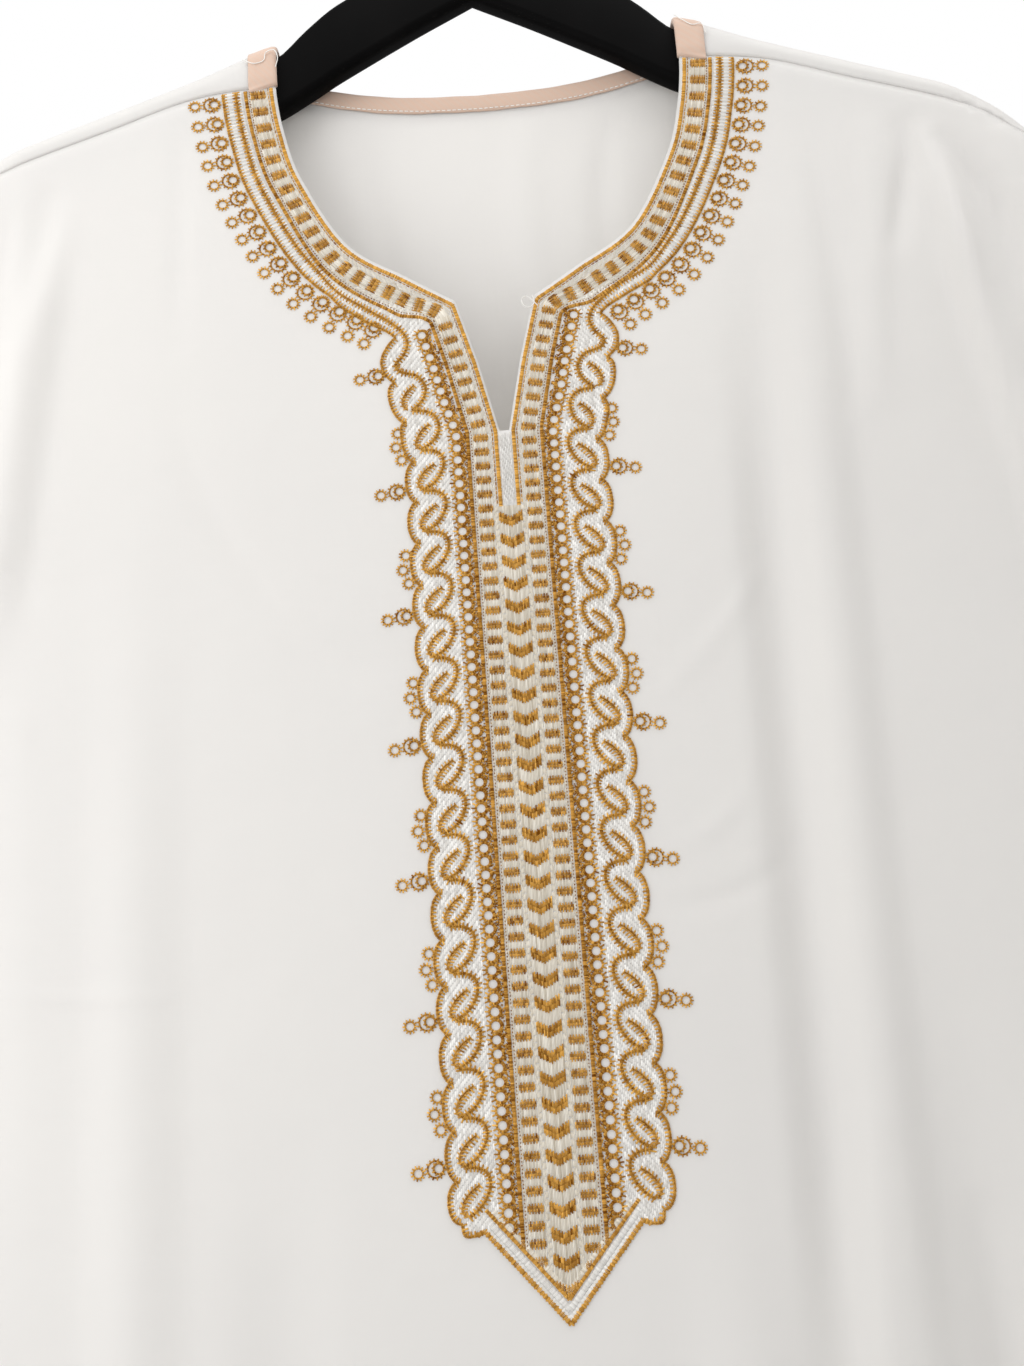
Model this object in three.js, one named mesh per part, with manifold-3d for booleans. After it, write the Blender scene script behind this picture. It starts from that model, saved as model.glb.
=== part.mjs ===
// A thobe on a hanger: a long white robe with a round neck, an open neck slit and a band of
// raised embroidery that runs round the neck and down the breast to a point.
// Millimetres, +Z up, the front of the robe faces -Y. The origin is the inner top of the
// hanger's hook, where a rail would hold it. Heights called "drop" are measured from the neck
// point, the highest place of the cloth beside the neck, and are negative below it.
import * as THREE from 'three';
import { mergeVertices } from 'three/addons/utils/BufferGeometryUtils.js';
import Module from 'manifold-3d';

const wasm = await Module();
wasm.setup();

// ---- Driving dimensions ----
const NECK_POINT_HEIGHT = -131;  // neck point, below the inner top of the hook
const HEM_DROP = -1370;          // hem, below the neck point
const CLOTH = 1.5;               // wall of the cloth
const GAP = 0.3;                 // between two pieces that touch
const EMBROIDERY = 0.9;          // how thick the embroidery stands on the cloth
const TAPE = 0.9;                // wall of the neck binding

const NECK_HALF = 100;           // half width of the neck opening at the shoulder
const SLIT_TOP_DROP = -144.5;    // where the round neck turns into the slit
const SLIT_TOP_HALF = 18.5;      // half width of the open slit at its top
const SLIT_END_DROP = -212;      // lower end of the slit
const SLIT_END_HALF = 2.2;       // half width of the slit at its lower end

const BAND_WIDTH = 26.8;         // neck embroidery, across
const EDGE_MARGIN = 1.5;         // plain folded edge between the neck and the embroidery
const SCALLOPS = 18;             // regular scallops down each side
const SCALLOP_BULGE_HALF = 46.5; // half width of the placket at the middle of a scallop
const SCALLOP_CUSP_HALF = 41.5;  // half width of the placket between two scallops
const LAST_SCALLOP_TALL = 21;    // shorter scallop above the point
const POINT_CORNER_DROP = -562;  // where the straight sides of the point begin
const POINT_CORNER_HALF = 32.5;  // half width there
const POINT_DROP = -600;         // tip of the point

const BINDING_OUTSIDE = 12.7;    // neck binding, width on the outside of the back
const BINDING_INSIDE = 8;        // and on the inside

const UNDERARM_DROP = -330;      // lower end of the armhole
const ARMHOLE_TOP_X = 268;       // armhole at the shoulder
const ARMHOLE_LOW_X = 262;       // armhole at the underarm
const ARMHOLE_DEPTH = 24;        // half depth of the armhole, front to back
const ARMHOLE_POWER = 2.4;       // squareness of the armhole loop, where 2 is an ellipse
const SLEEVE_POWER = 2.2;        // squareness of the sleeve's rings
const SHOULDER_END_TALL = 34;    // extra height of the cloth's round top at the armhole
const SHOULDER_END_DEEP = 10;    // extra half depth there
const SIDE_ROUND_FROM = 0.84;    // share of the half width where the cloth turns to the side seam

const ARM_END_X = 222;           // end of each hanger arm
const ARM_THICK = 13;            // hanger arm, front to back
const ARM_FORWARD = 18;          // how far the arm ends curve forward
const ARM_CLEARANCE = 1.5;       // between the arm and the cloth on it
const ARM_CORNER = 0.75;         // roundness of the arm's section, as a share of its half depth
const ARM_TIP = 14;              // length over which an arm narrows at its end
const ARM_TIP_LOSS = 0.45;       // share of its section that it loses there
const WIRE = 3.8;                // hook wire, across
const HOOK_RADIUS = 22;          // inner radius of the hook
const HOOK_NECK = 14;            // height of the bend from the stem into the hook
const HOOK_START = -62;          // angle in degrees where the round of the hook begins
const HOOK_TURN = 264;           // and how far it turns

// Shoulder, from the centre outwards: the ridge on the hanger and the front shoulder seam.
const SHOULDER = [
  { out: 0, ridge: 12, seam: -14 },
  { out: 60, ridge: 9, seam: -16 },
  { out: 100, ridge: 5.5, seam: -20 },
  { out: 140, ridge: -12.5, seam: -27 },
  { out: 180, ridge: -30.5, seam: -44 },
  { out: 222, ridge: -50, seam: -63 },
  { out: 245, ridge: -62.5, seam: -76.5 },
  { out: 268, ridge: -80, seam: -93 },
];

// Hanger arm, from the centre outwards: top edge and height of the arm.
const ARM = [
  { out: 0, top: 62, tall: 34.5 },
  { out: 30, top: 50, tall: 38.5 },
  { out: 68, top: 29, tall: 40 },
  { out: 84, top: 15.2, tall: 37 },
  { out: 98, top: 0.8, tall: 31.6 },
  { out: 110, top: -4.5, tall: 32 },
  { out: 160, top: -25.3, tall: 29 },
  { out: 200, top: -42.5, tall: 26 },
  { out: 222, top: -54, tall: 22 },
];

// Body by drop: half width at the side seams, added half depth and how much of the arms'
// forward curve is left in the cloth.
const BODY = [
  { drop: 12, half: 268, depth: 0, forward: 1 },
  { drop: -60, half: 268, depth: 3.5, forward: 0.95 },
  { drop: -160, half: 266, depth: 9.5, forward: 0.75 },
  { drop: -330, half: 262, depth: 13.5, forward: 0.4 },
  { drop: -430, half: 259, depth: 15, forward: 0.3 },
  { drop: -700, half: 268, depth: 18, forward: 0.12 },
  { drop: -1000, half: 281, depth: 23, forward: 0 },
  { drop: -1370, half: 298, depth: 29, forward: 0 },
];

// Folds hang as soft ridges (rise above 0) and troughs (rise below 0) from top to end.
const FRONT_FOLDS = [
  { topX: 121, top: -110, endX: 106, end: -740, half: 20, rise: -6 },
  { topX: 145, top: -60, endX: 132, end: -760, half: 21, rise: 5.5 },
  { topX: 208, top: -70, endX: 252, end: -330, half: 19, rise: 6 },
  { topX: 166, top: -430, endX: 190, end: -1370, half: 30, rise: -9 },
  { topX: 62, top: -500, endX: 108, end: -1370, half: 27, rise: 8 },
  { topX: 30, top: -640, endX: 46, end: -1370, half: 28, rise: -6 },
  { topX: -58, top: -600, endX: -76, end: -1370, half: 30, rise: 7 },
  { topX: -112, top: -470, endX: -138, end: -1370, half: 28, rise: -7 },
  { topX: -168, top: -180, endX: -196, end: -1370, half: 26, rise: 6 },
  { topX: -206, top: -75, endX: -240, end: -320, half: 19, rise: 5 },
];
const BACK_FOLDS = [
  { topX: -150, top: -120, endX: -178, end: -1370, half: 30, rise: 7 },
  { topX: -86, top: -260, endX: -112, end: -1370, half: 28, rise: -7 },
  { topX: -34, top: -60, endX: -40, end: -1370, half: 30, rise: 5 },
  { topX: 42, top: -340, endX: 38, end: -1370, half: 28, rise: -8 },
  { topX: 96, top: -140, endX: 118, end: -1370, half: 30, rise: 7 },
  { topX: 168, top: -420, endX: 196, end: -1370, half: 28, rise: -6 },
];

// Right sleeve as flat rings, from the armhole to the cuff: the ring's outer and inner ends
// and its half depth.
const SLEEVE = [
  { outX: 301, outDrop: -113, inX: 264.6, inDrop: -352, depth: 27 },
  { outX: 334, outDrop: -172, inX: 269, inDrop: -377, depth: 28 },
  { outX: 358, outDrop: -250, inX: 275, inDrop: -411, depth: 28 },
  { outX: 376, outDrop: -342, inX: 282, inDrop: -455, depth: 27 },
  { outX: 389, outDrop: -450, inX: 288, inDrop: -520, depth: 26 },
  { outX: 397, outDrop: -560, inX: 293, inDrop: -592, depth: 25 },
  { outX: 403, outDrop: -655, inX: 296, inDrop: -668, depth: 24 },
  { outX: 406, outDrop: -724, inX: 298, inDrop: -728, depth: 23 },
];

// Round neck of the front, right half, from the shoulder down to the slit.
const FRONT_NECK = [
  { x: NECK_HALF, drop: -2 },
  { x: 99.3, drop: -25 },
  { x: 96, drop: -48 },
  { x: 88.5, drop: -74 },
  { x: 68, drop: -111 },
  { x: 40, drop: -130.5 },
  { x: SLIT_TOP_HALF, drop: SLIT_TOP_DROP },
];
// Shallow neck of the back, right half, from the shoulder ridge to the centre.
const BACK_NECK = [
  { x: NECK_HALF, drop: 8 },
  { x: 98.5, drop: -1 },
  { x: 88, drop: -8.5 },
  { x: 66, drop: -14.5 },
  { x: 34, drop: -18.5 },
  { x: 0, drop: -19.5 },
];

// Outer line of the placket from the neck to its first cusp, left half: distance out from the
// spread of the slit, and drop.
const PLACKET_SHOULDER = [
  { x: 56.4, drop: -143.3 },
  { x: 47.1, drop: -152 },
  { x: 38.3, drop: -158.4 },
  { x: 35.9, drop: -161.6 },
  { x: 41.5, drop: -166.4 },
  { x: 45.9, drop: -172.6 },
  { x: 46.6, drop: -179.6 },
];
// The two sides' scallops: the first cusp, the pitch, and how much higher the shoulder lies.
const PLACKET_LEFT = { firstCusp: -184.9, pitch: 19.84, lift: 0 };
const PLACKET_RIGHT = { firstCusp: -179.7, pitch: 20.02, lift: 5.2 };

const WELD = 1e-4;     // points closer than this are one
const OVERLAP = 0.01;  // of two solids that are joined
const HEIGHT_OF = (drop) => NECK_POINT_HEIGHT + drop;

// ---- Small helpers ----

// Reads one column of a table at a place between its rows, along a smooth curve.
function read(table, key, place, column) {
  const sign = Math.sign(table[1][key] - table[0][key]);
  const last = table.length - 1;
  const at = Math.min(Math.max(place * sign, table[0][key] * sign), table[last][key] * sign) * sign;
  let row = 0;
  while (row < last - 1 && (at - table[row + 1][key]) * sign > 0) row += 1;
  const slope = (i) => {
    const a = table[Math.max(i - 1, 0)];
    const b = table[Math.min(i + 1, last)];
    return (b[column] - a[column]) / (b[key] - a[key]);
  };
  const span = table[row + 1][key] - table[row][key];
  const t = (at - table[row][key]) / span;
  const rest = 1 - t;
  return table[row][column] * (1 + 2 * t) * rest * rest
    + slope(row) * span * t * rest * rest
    + table[row + 1][column] * t * t * (1 + 2 * rest)
    - slope(row + 1) * span * rest * t * t;
}

const ease = (from, to, at) => {
  const t = Math.min(Math.max((at - from) / (to - from), 0), 1);
  return t * t * (3 - 2 * t);
};

function solidOf(geometry) {
  const plain = geometry.clone();
  plain.deleteAttribute('normal');
  plain.deleteAttribute('uv');
  const merged = mergeVertices(plain, WELD);
  return new wasm.Manifold(new wasm.Mesh({
    numProp: 3,
    vertProperties: new Float32Array(merged.attributes.position.array),
    triVerts: new Uint32Array(merged.index.array),
  }));
}

function geometryOf(solid) {
  const { vertProperties, triVerts } = solid.getMesh();
  const geometry = new THREE.BufferGeometry();
  geometry.setAttribute('position', new THREE.BufferAttribute(vertProperties, 3));
  geometry.setIndex(new THREE.BufferAttribute(triVerts, 1));
  geometry.computeVertexNormals();
  return geometry;
}

// A closed wall between two matching grids of points. A loop closes on itself across its rows.
function wall(outside, inside, loop = false) {
  const rows = outside.length;
  const cols = outside[0].length;
  const positions = [outside, inside].flat(2).flatMap((p) => [p.x, p.y, p.z]);
  const faces = [];
  const at = (skin, r, c) => (skin * rows + r) * cols + (c % cols);
  const rim = (r0, c0, r1, c1) => {
    faces.push(at(0, r0, c0), at(0, r1, c1), at(1, r1, c1));
    faces.push(at(0, r0, c0), at(1, r1, c1), at(1, r0, c0));
  };
  const across = loop ? cols : cols - 1;
  for (let r = 0; r < rows - 1; r += 1) {
    for (let c = 0; c < across; c += 1) {
      faces.push(at(0, r, c), at(0, r, c + 1), at(0, r + 1, c + 1));
      faces.push(at(0, r, c), at(0, r + 1, c + 1), at(0, r + 1, c));
      faces.push(at(1, r, c), at(1, r + 1, c + 1), at(1, r, c + 1));
      faces.push(at(1, r, c), at(1, r + 1, c), at(1, r + 1, c + 1));
    }
  }
  for (let c = 0; c < across; c += 1) {
    rim(0, c + 1, 0, c);
    rim(rows - 1, c, rows - 1, c + 1);
  }
  if (!loop) {
    for (let r = 0; r < rows - 1; r += 1) {
      rim(r, 0, r + 1, 0);
      rim(r + 1, cols - 1, r, cols - 1);
    }
  }
  const geometry = new THREE.BufferGeometry();
  geometry.setAttribute('position', new THREE.Float32BufferAttribute(positions, 3));
  geometry.setIndex(faces);
  geometry.computeVertexNormals();
  return geometry;
}

// Unit normals of a grid of points. A grid runs so that they point out of the cloth.
function normalsOf(grid, loop = false) {
  const rows = grid.length;
  const cols = grid[0].length;
  return grid.map((line, r) => line.map((point, c) => {
    const left = loop ? (c + cols - 1) % cols : Math.max(c - 1, 0);
    const right = loop ? (c + 1) % cols : Math.min(c + 1, cols - 1);
    const along = new THREE.Vector3().subVectors(line[right], line[left]);
    const down = new THREE.Vector3().subVectors(
      grid[Math.min(r + 1, rows - 1)][c], grid[Math.max(r - 1, 0)][c]);
    return new THREE.Vector3().crossVectors(along, down).normalize();
  }));
}

const shifted = (grid, normals, distance) => grid.map((line, r) => line.map((point, c) => (
  point.clone().addScaledVector(normals[r][c], distance))));

// A flat outline in x and drop, pushed through the whole depth from front to back.
function pushed(outline, yFront, yBack) {
  const shape = new THREE.Shape(outline.map((p) => new THREE.Vector2(p.x, HEIGHT_OF(p.drop))));
  const geometry = new THREE.ExtrudeGeometry(shape, {
    depth: yBack - yFront,
    bevelEnabled: false,
    curveSegments: 1,
  });
  geometry.rotateX(Math.PI / 2);
  geometry.translate(0, yBack, 0);
  return solidOf(geometry);
}

// A smooth line through points of x and drop.
function smooth(points, steps) {
  const curve = new THREE.SplineCurve(points.map((p) => new THREE.Vector2(p.x, p.drop)));
  return curve.getPoints(steps).map((p) => ({ x: p.x, drop: p.y }));
}

// A line moved sideways, to the left of its direction, with mitred corners.
function beside(line, distance) {
  const normal = (a, b) => {
    const size = Math.hypot(b.x - a.x, b.drop - a.drop);
    return { x: -(b.drop - a.drop) / size, drop: (b.x - a.x) / size };
  };
  return line.map((p, i) => {
    const before = normal(line[Math.max(i - 1, 0)], line[Math.max(i, 1)]);
    const after = normal(line[Math.min(i, line.length - 2)], line[Math.min(i + 1, line.length - 1)]);
    const miter = distance / (1 + before.x * after.x + before.drop * after.drop);
    return { x: p.x + (before.x + after.x) * miter, drop: p.drop + (before.drop + after.drop) * miter };
  });
}

const mirrored = (line) => line.map((p) => ({ x: -p.x, drop: p.drop })).reverse();

// ---- The hung shape of the cloth ----

const ridgeAt = (x) => read(SHOULDER, 'out', Math.abs(x), 'ridge');
const seamAt = (x) => read(SHOULDER, 'out', Math.abs(x), 'seam');
const armForward = (x) => -ARM_FORWARD * Math.min(Math.abs(x) / ARM_END_X, 1) ** 2;
const armholeX = (drop) => {
  const top = ridgeAt(ARMHOLE_TOP_X);
  const share = Math.min(Math.max((drop - UNDERARM_DROP) / (top - UNDERARM_DROP), 0), 1);
  return ARMHOLE_LOW_X + (ARMHOLE_TOP_X - ARMHOLE_LOW_X) * share;
};
const halfWidthAt = (drop) => (
  drop > UNDERARM_DROP ? armholeX(drop) : read(BODY, 'drop', drop, 'half'));

// Half depth of the armhole loop, which closes at the shoulder ridge and at the underarm.
function armholeDepth(drop) {
  const top = ridgeAt(ARMHOLE_TOP_X);
  const middle = (top + UNDERARM_DROP) / 2;
  const share = Math.min(Math.abs(drop - middle) / (top - middle), 1);
  return ARMHOLE_DEPTH * (1 - share ** ARMHOLE_POWER) ** (1 / ARMHOLE_POWER);
}

const armholeCentre = (drop) => (
  armForward(ARM_END_X) * Math.min(Math.max((drop - UNDERARM_DROP) / -UNDERARM_DROP, 0), 1));

// How far the cloth bulges forward (front) or backward (back) in its folds.
function foldsAt(folds, x, drop) {
  return folds.reduce((sum, fold) => {
    const share = (drop - fold.top) / (fold.end - fold.top);
    if (share <= 0 || share >= 1) return sum;
    const line = fold.topX + (fold.endX - fold.topX) * share;
    const off = Math.abs(x - line) / fold.half;
    if (off >= 1) return sum;
    const fadeOut = fold.end === HEM_DROP ? 1 : 1 - ease(0.7, 1, share);
    return sum + fold.rise * 0.5 * (1 + Math.cos(Math.PI * off)) * ease(0, 0.3, share) * fadeOut;
  }, 0);
}

// Radius of the cloth over the hanger arm and height of its rounded top.
const archRadius = ARM_THICK / 2 + ARM_CLEARANCE + CLOTH;
const towardsArmhole = (x) => ease(ARM_END_X, ARMHOLE_TOP_X, Math.abs(x));
const archTall = (x) => archRadius + SHOULDER_END_TALL * towardsArmhole(x);

// A point of the body's outer surface. side is -1 on the front and 1 on the back.
function bodyPoint(x, drop, side) {
  const ridge = ridgeAt(x);
  const rise = Math.min(Math.max((ridge - drop) / archTall(x), 0), 1);
  const arch = Math.sqrt(1 - (1 - rise) ** 2);
  const folds = foldsAt(side < 0 ? FRONT_FOLDS : BACK_FOLDS, x, drop);
  const opened = SHOULDER_END_DEEP * towardsArmhole(x);
  const depth = arch * (archRadius + opened + read(BODY, 'drop', drop, 'depth')) + folds;
  const centre = armForward(x) * read(BODY, 'drop', drop, 'forward');
  let y = centre + side * depth;

  const half = halfWidthAt(drop);
  const toEdge = Math.max((Math.abs(x) / half - SIDE_ROUND_FROM) / (1 - SIDE_ROUND_FROM), 0);
  const turn = 1 - Math.sqrt(1 - Math.min(toEdge, 1) ** 2);
  const edge = drop > UNDERARM_DROP
    ? armholeCentre(drop) + side * Math.max(armholeDepth(drop), GAP / 2)
    : side * GAP / 2;
  y += (edge - y) * turn;
  return new THREE.Vector3(x, y, HEIGHT_OF(drop));
}

// Shares of the half width where the columns of a panel lie, close together at the side.
const HALF_COLUMNS = [0, 0.08, 0.16, 0.24, 0.32, 0.4, 0.48, 0.56, 0.64, 0.72, 0.79, 0.85, 0.9,
  0.94, 0.975, 1];
const COLUMNS = [...HALF_COLUMNS.slice(1).reverse().map((u) => -u), ...HALF_COLUMNS];

// Rows of a panel: shares of the way from the shoulder to the underarm, then drops to the hem.
const UPPER_ROWS = [0.04, 0.1, 0.17, 0.25, 0.33, 0.41, 0.49, 0.57, 0.65, 0.74, 0.83, 0.91, 0.965, 1];
const LOWER_STEPS = 16;
const lowerRow = (step) => UNDERARM_DROP + (HEM_DROP - UNDERARM_DROP) * (step / LOWER_STEPS);

// One row of points across the body. facing is 1 from left to right, -1 the other way round.
function rowOf(side, dropAt, facing = 1) {
  return COLUMNS.map((column) => {
    const u = column * facing;
    let x = u * ARMHOLE_TOP_X;
    for (let pass = 0; pass < 4; pass += 1) x = u * halfWidthAt(dropAt(x));
    return bodyPoint(x, dropAt(x), side);
  });
}

// Keeps the walls' edges flat where two panels meet: at the sides, armholes and shoulder seam.
function squareEdges(normals, grid) {
  const last = COLUMNS.length - 1;
  normals.forEach((line, r) => {
    const drop = grid[r][0].z - NECK_POINT_HEIGHT;
    for (const c of [0, last]) {
      if (drop > UNDERARM_DROP) line[c].x = 0;
      else line[c].set(Math.sign(grid[r][c].x), 0, 0);
      line[c].normalize();
    }
  });
  [...normals[0], ...normals[normals.length - 1]].forEach((n) => {
    n.z = 0;
    n.normalize();
  });
}

function frontGrid() {
  const start = (x) => seamAt(x) - GAP / 2;
  const rows = [0, ...UPPER_ROWS].map((share) => (
    rowOf(-1, (x) => start(x) + (UNDERARM_DROP - start(x)) * share, -1)));
  for (let step = 1; step <= LOWER_STEPS; step += 1) rows.push(rowOf(-1, () => lowerRow(step), -1));
  const normals = normalsOf(rows);
  squareEdges(normals, rows);
  return { rows, normals };
}

// The back starts at the front shoulder seam, goes up over the ridge and down to the hem.
function backGrid() {
  const start = (x) => seamAt(x) + GAP / 2;
  const archDrop = (x, angle) => ridgeAt(x) - archTall(x) * (1 - Math.sin(angle));
  const rows = [];
  rows.push(rowOf(-1, start));
  const over = [20, 45, 68];
  for (const angle of over) {
    rows.push(rowOf(-1, (x) => {
      const low = Math.max(archDrop(x, 0), start(x) + 1);
      const share = Math.sin(THREE.MathUtils.degToRad(angle));
      return low + (ridgeAt(x) - low) * share;
    }));
  }
  rows.push(rowOf(1, ridgeAt));
  for (const angle of [...over].reverse()) {
    rows.push(rowOf(1, (x) => archDrop(x, THREE.MathUtils.degToRad(angle))));
  }
  rows.push(rowOf(1, (x) => archDrop(x, 0)));
  for (const share of UPPER_ROWS) {
    rows.push(rowOf(1, (x) => {
      const low = archDrop(x, 0);
      return low + (UNDERARM_DROP - low) * share;
    }));
  }
  for (let step = 1; step <= LOWER_STEPS; step += 1) rows.push(rowOf(1, () => lowerRow(step)));
  const normals = normalsOf(rows);
  squareEdges(normals, rows);
  return { rows, normals };
}

// ---- Outlines on the front and back ----

const neckRight = smooth(FRONT_NECK, 20);
const slitRight = [
  { x: 9.8, drop: -177 },
  { x: SLIT_END_HALF, drop: SLIT_END_DROP },
];
const ABOVE = 60;  // drop of a level above all the cloth

// The open neck of the front, grown outwards by a margin.
function frontOpening(margin) {
  const right = beside([...neckRight, ...slitRight], margin);
  const last = right[right.length - 1];
  right[right.length - 1] = { x: last.x, drop: SLIT_END_DROP - margin };
  const top = [{ x: NECK_HALF + margin, drop: ABOVE }];
  return [...top, ...right, ...mirrored(right), ...mirrored(top)];
}

// The back neck, grown outwards by a margin.
function backOpening(margin) {
  const right = beside(smooth(BACK_NECK, 14), margin);
  right[right.length - 1].x = 0;
  const top = [{ x: NECK_HALF + margin, drop: ABOVE }];
  return [...top, ...right, ...mirrored(right).slice(1), ...mirrored(top)];
}

// How far the slit has spread the embroidery sideways.
function spreadAt(drop) {
  const line = [neckRight[neckRight.length - 1], ...slitRight];
  if (drop <= SLIT_END_DROP) return 0;
  const upper = drop > line[1].drop ? 0 : 1;
  const share = (drop - line[upper + 1].drop) / (line[upper].drop - line[upper + 1].drop);
  return line[upper + 1].x + (line[upper].x - line[upper + 1].x) * share - SLIT_END_HALF;
}

// One side of the embroidered placket, from the slit's top down its scallops to the point.
function placketSide({ firstCusp, pitch, lift }) {
  const opened = (x, drop) => ({ x: x + spreadAt(drop), drop });
  const side = [{ x: SLIT_TOP_HALF, drop: SLIT_TOP_DROP }];
  for (const p of PLACKET_SHOULDER) side.push(opened(p.x, p.drop + lift));
  const swells = [0, 0.59, 0.95, 0.95, 0.59];
  const scallop = (top, tall) => swells.forEach((swell, i) => {
    const half = SCALLOP_CUSP_HALF + (SCALLOP_BULGE_HALF - SCALLOP_CUSP_HALF) * swell;
    side.push(opened(half, top - (tall * i) / swells.length));
  });
  for (let i = 0; i < SCALLOPS; i += 1) scallop(firstCusp - i * pitch, pitch);
  scallop(firstCusp - SCALLOPS * pitch, LAST_SCALLOP_TALL);
  side.push({ x: POINT_CORNER_HALF, drop: POINT_CORNER_DROP });
  return side;
}

function placketOutline() {
  return [...placketSide(PLACKET_RIGHT), { x: 0, drop: POINT_DROP },
    ...mirrored(placketSide(PLACKET_LEFT))];
}

function bandOutline() {
  return [...neckRight, ...beside(neckRight, BAND_WIDTH).reverse()];
}

// ---- The pieces ----

const FAR = 400;               // beyond the cloth, front or back
const MIDDLE_COLUMNS = 0.48;   // share of the half width that holds the neck and the placket
const EMBROIDERY_ROWS = 22;    // rows of the front's grid that the embroidery needs
const BINDING_ROWS = 14;       // rows of the back's grid that the binding needs
const front = frontGrid();
const back = backGrid();
const ridgeY = armForward(NECK_HALF);

function frontPanel() {
  const panel = solidOf(wall(front.rows, shifted(front.rows, front.normals, -CLOTH)));
  return geometryOf(panel.subtract(pushed(frontOpening(0), -FAR, FAR)));
}

// The neck hole as the back sees it: straight edges over the shoulder ridge, shallow behind.
function backHole(margin) {
  const box = [
    { x: NECK_HALF + margin, drop: ABOVE },
    { x: NECK_HALF + margin, drop: -ABOVE },
    { x: -NECK_HALF - margin, drop: -ABOVE },
    { x: -NECK_HALF - margin, drop: ABOVE },
  ];
  return pushed(box, -FAR, ridgeY).add(pushed(backOpening(margin), ridgeY - OVERLAP, FAR));
}

function backPanel() {
  const panel = solidOf(wall(back.rows, shifted(back.rows, back.normals, -CLOTH)));
  return geometryOf(panel.subtract(backHole(0)));
}

// The part of a panel's surface between two distances above it, over some rows.
function layer(grid, low, high, rowCount) {
  const pick = (field) => field.slice(0, rowCount).map((line) => (
    line.filter((item, c) => Math.abs(COLUMNS[c]) <= MIDDLE_COLUMNS)));
  const rows = pick(grid.rows);
  const normals = pick(grid.normals);
  return solidOf(wall(shifted(rows, normals, high), shifted(rows, normals, low)));
}

function embroidery() {
  const raised = layer(front, GAP, GAP + EMBROIDERY, EMBROIDERY_ROWS);
  const right = pushed(bandOutline(), -FAR, FAR);
  const left = pushed(mirrored(bandOutline()), -FAR, FAR);
  const area = pushed(placketOutline(), -FAR, FAR).add(right).add(left);
  return geometryOf(raised.intersect(area).subtract(pushed(frontOpening(EDGE_MARGIN), -FAR, FAR)));
}

// Folded tape round the back neck: one leg outside, one inside and a turn over the edge.
function neckBinding() {
  const within = (outer, inner) => backHole(outer).subtract(backHole(inner));
  const outsideLeg = layer(back, GAP, GAP + TAPE, BINDING_ROWS)
    .intersect(within(BINDING_OUTSIDE, -GAP - TAPE));
  const insideLeg = layer(back, -CLOTH - GAP - TAPE, -CLOTH - GAP, BINDING_ROWS)
    .intersect(within(BINDING_INSIDE, -GAP - TAPE));
  const turn = layer(back, -CLOTH - GAP - TAPE, GAP + TAPE, BINDING_ROWS)
    .intersect(within(-GAP, -GAP - TAPE));
  return geometryOf(outsideLeg.add(insideLeg).add(turn));
}

// A sleeve: an open tube of flat rings that starts at the armhole and hangs beside the body.
function sleeve(side) {
  const around = 20;
  const ring = (top, low, depth, power, centreAt) => {
    const points = [];
    for (let i = 0; i < around; i += 1) {
      const angle = (2 * Math.PI * i) / around;
      const cos = Math.cos(angle);
      const sin = Math.sin(angle);
      const along = 0.5 + 0.5 * Math.sign(cos) * Math.abs(cos) ** (2 / power);
      const out = low.x + (top.x - low.x) * along;
      const drop = low.drop + (top.drop - low.drop) * along;
      const y = centreAt(drop) - depth * Math.sign(sin) * Math.abs(sin) ** (2 / power);
      points.push(new THREE.Vector3(side * out, y, HEIGHT_OF(drop)));
    }
    return side > 0 ? points : points.reverse();
  };
  const shoulder = { x: ARMHOLE_TOP_X + GAP, drop: ridgeAt(ARMHOLE_TOP_X) };
  const underarm = { x: ARMHOLE_LOW_X + GAP, drop: UNDERARM_DROP };
  const rings = [ring(shoulder, underarm, ARMHOLE_DEPTH, ARMHOLE_POWER, armholeCentre)];
  SLEEVE.forEach((row, i) => {
    const settle = 1 - ease(0, SLEEVE.length - 2, i);
    rings.push(ring({ x: row.outX, drop: row.outDrop }, { x: row.inX, drop: row.inDrop },
      row.depth, SLEEVE_POWER, (drop) => armholeCentre(drop) * settle));
  });
  const normals = normalsOf(rings, true);
  normals[0].forEach((n) => {
    n.x = 0;
    n.normalize();
  });
  return wall(rings, shifted(rings, normals, -CLOTH), true);
}

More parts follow.
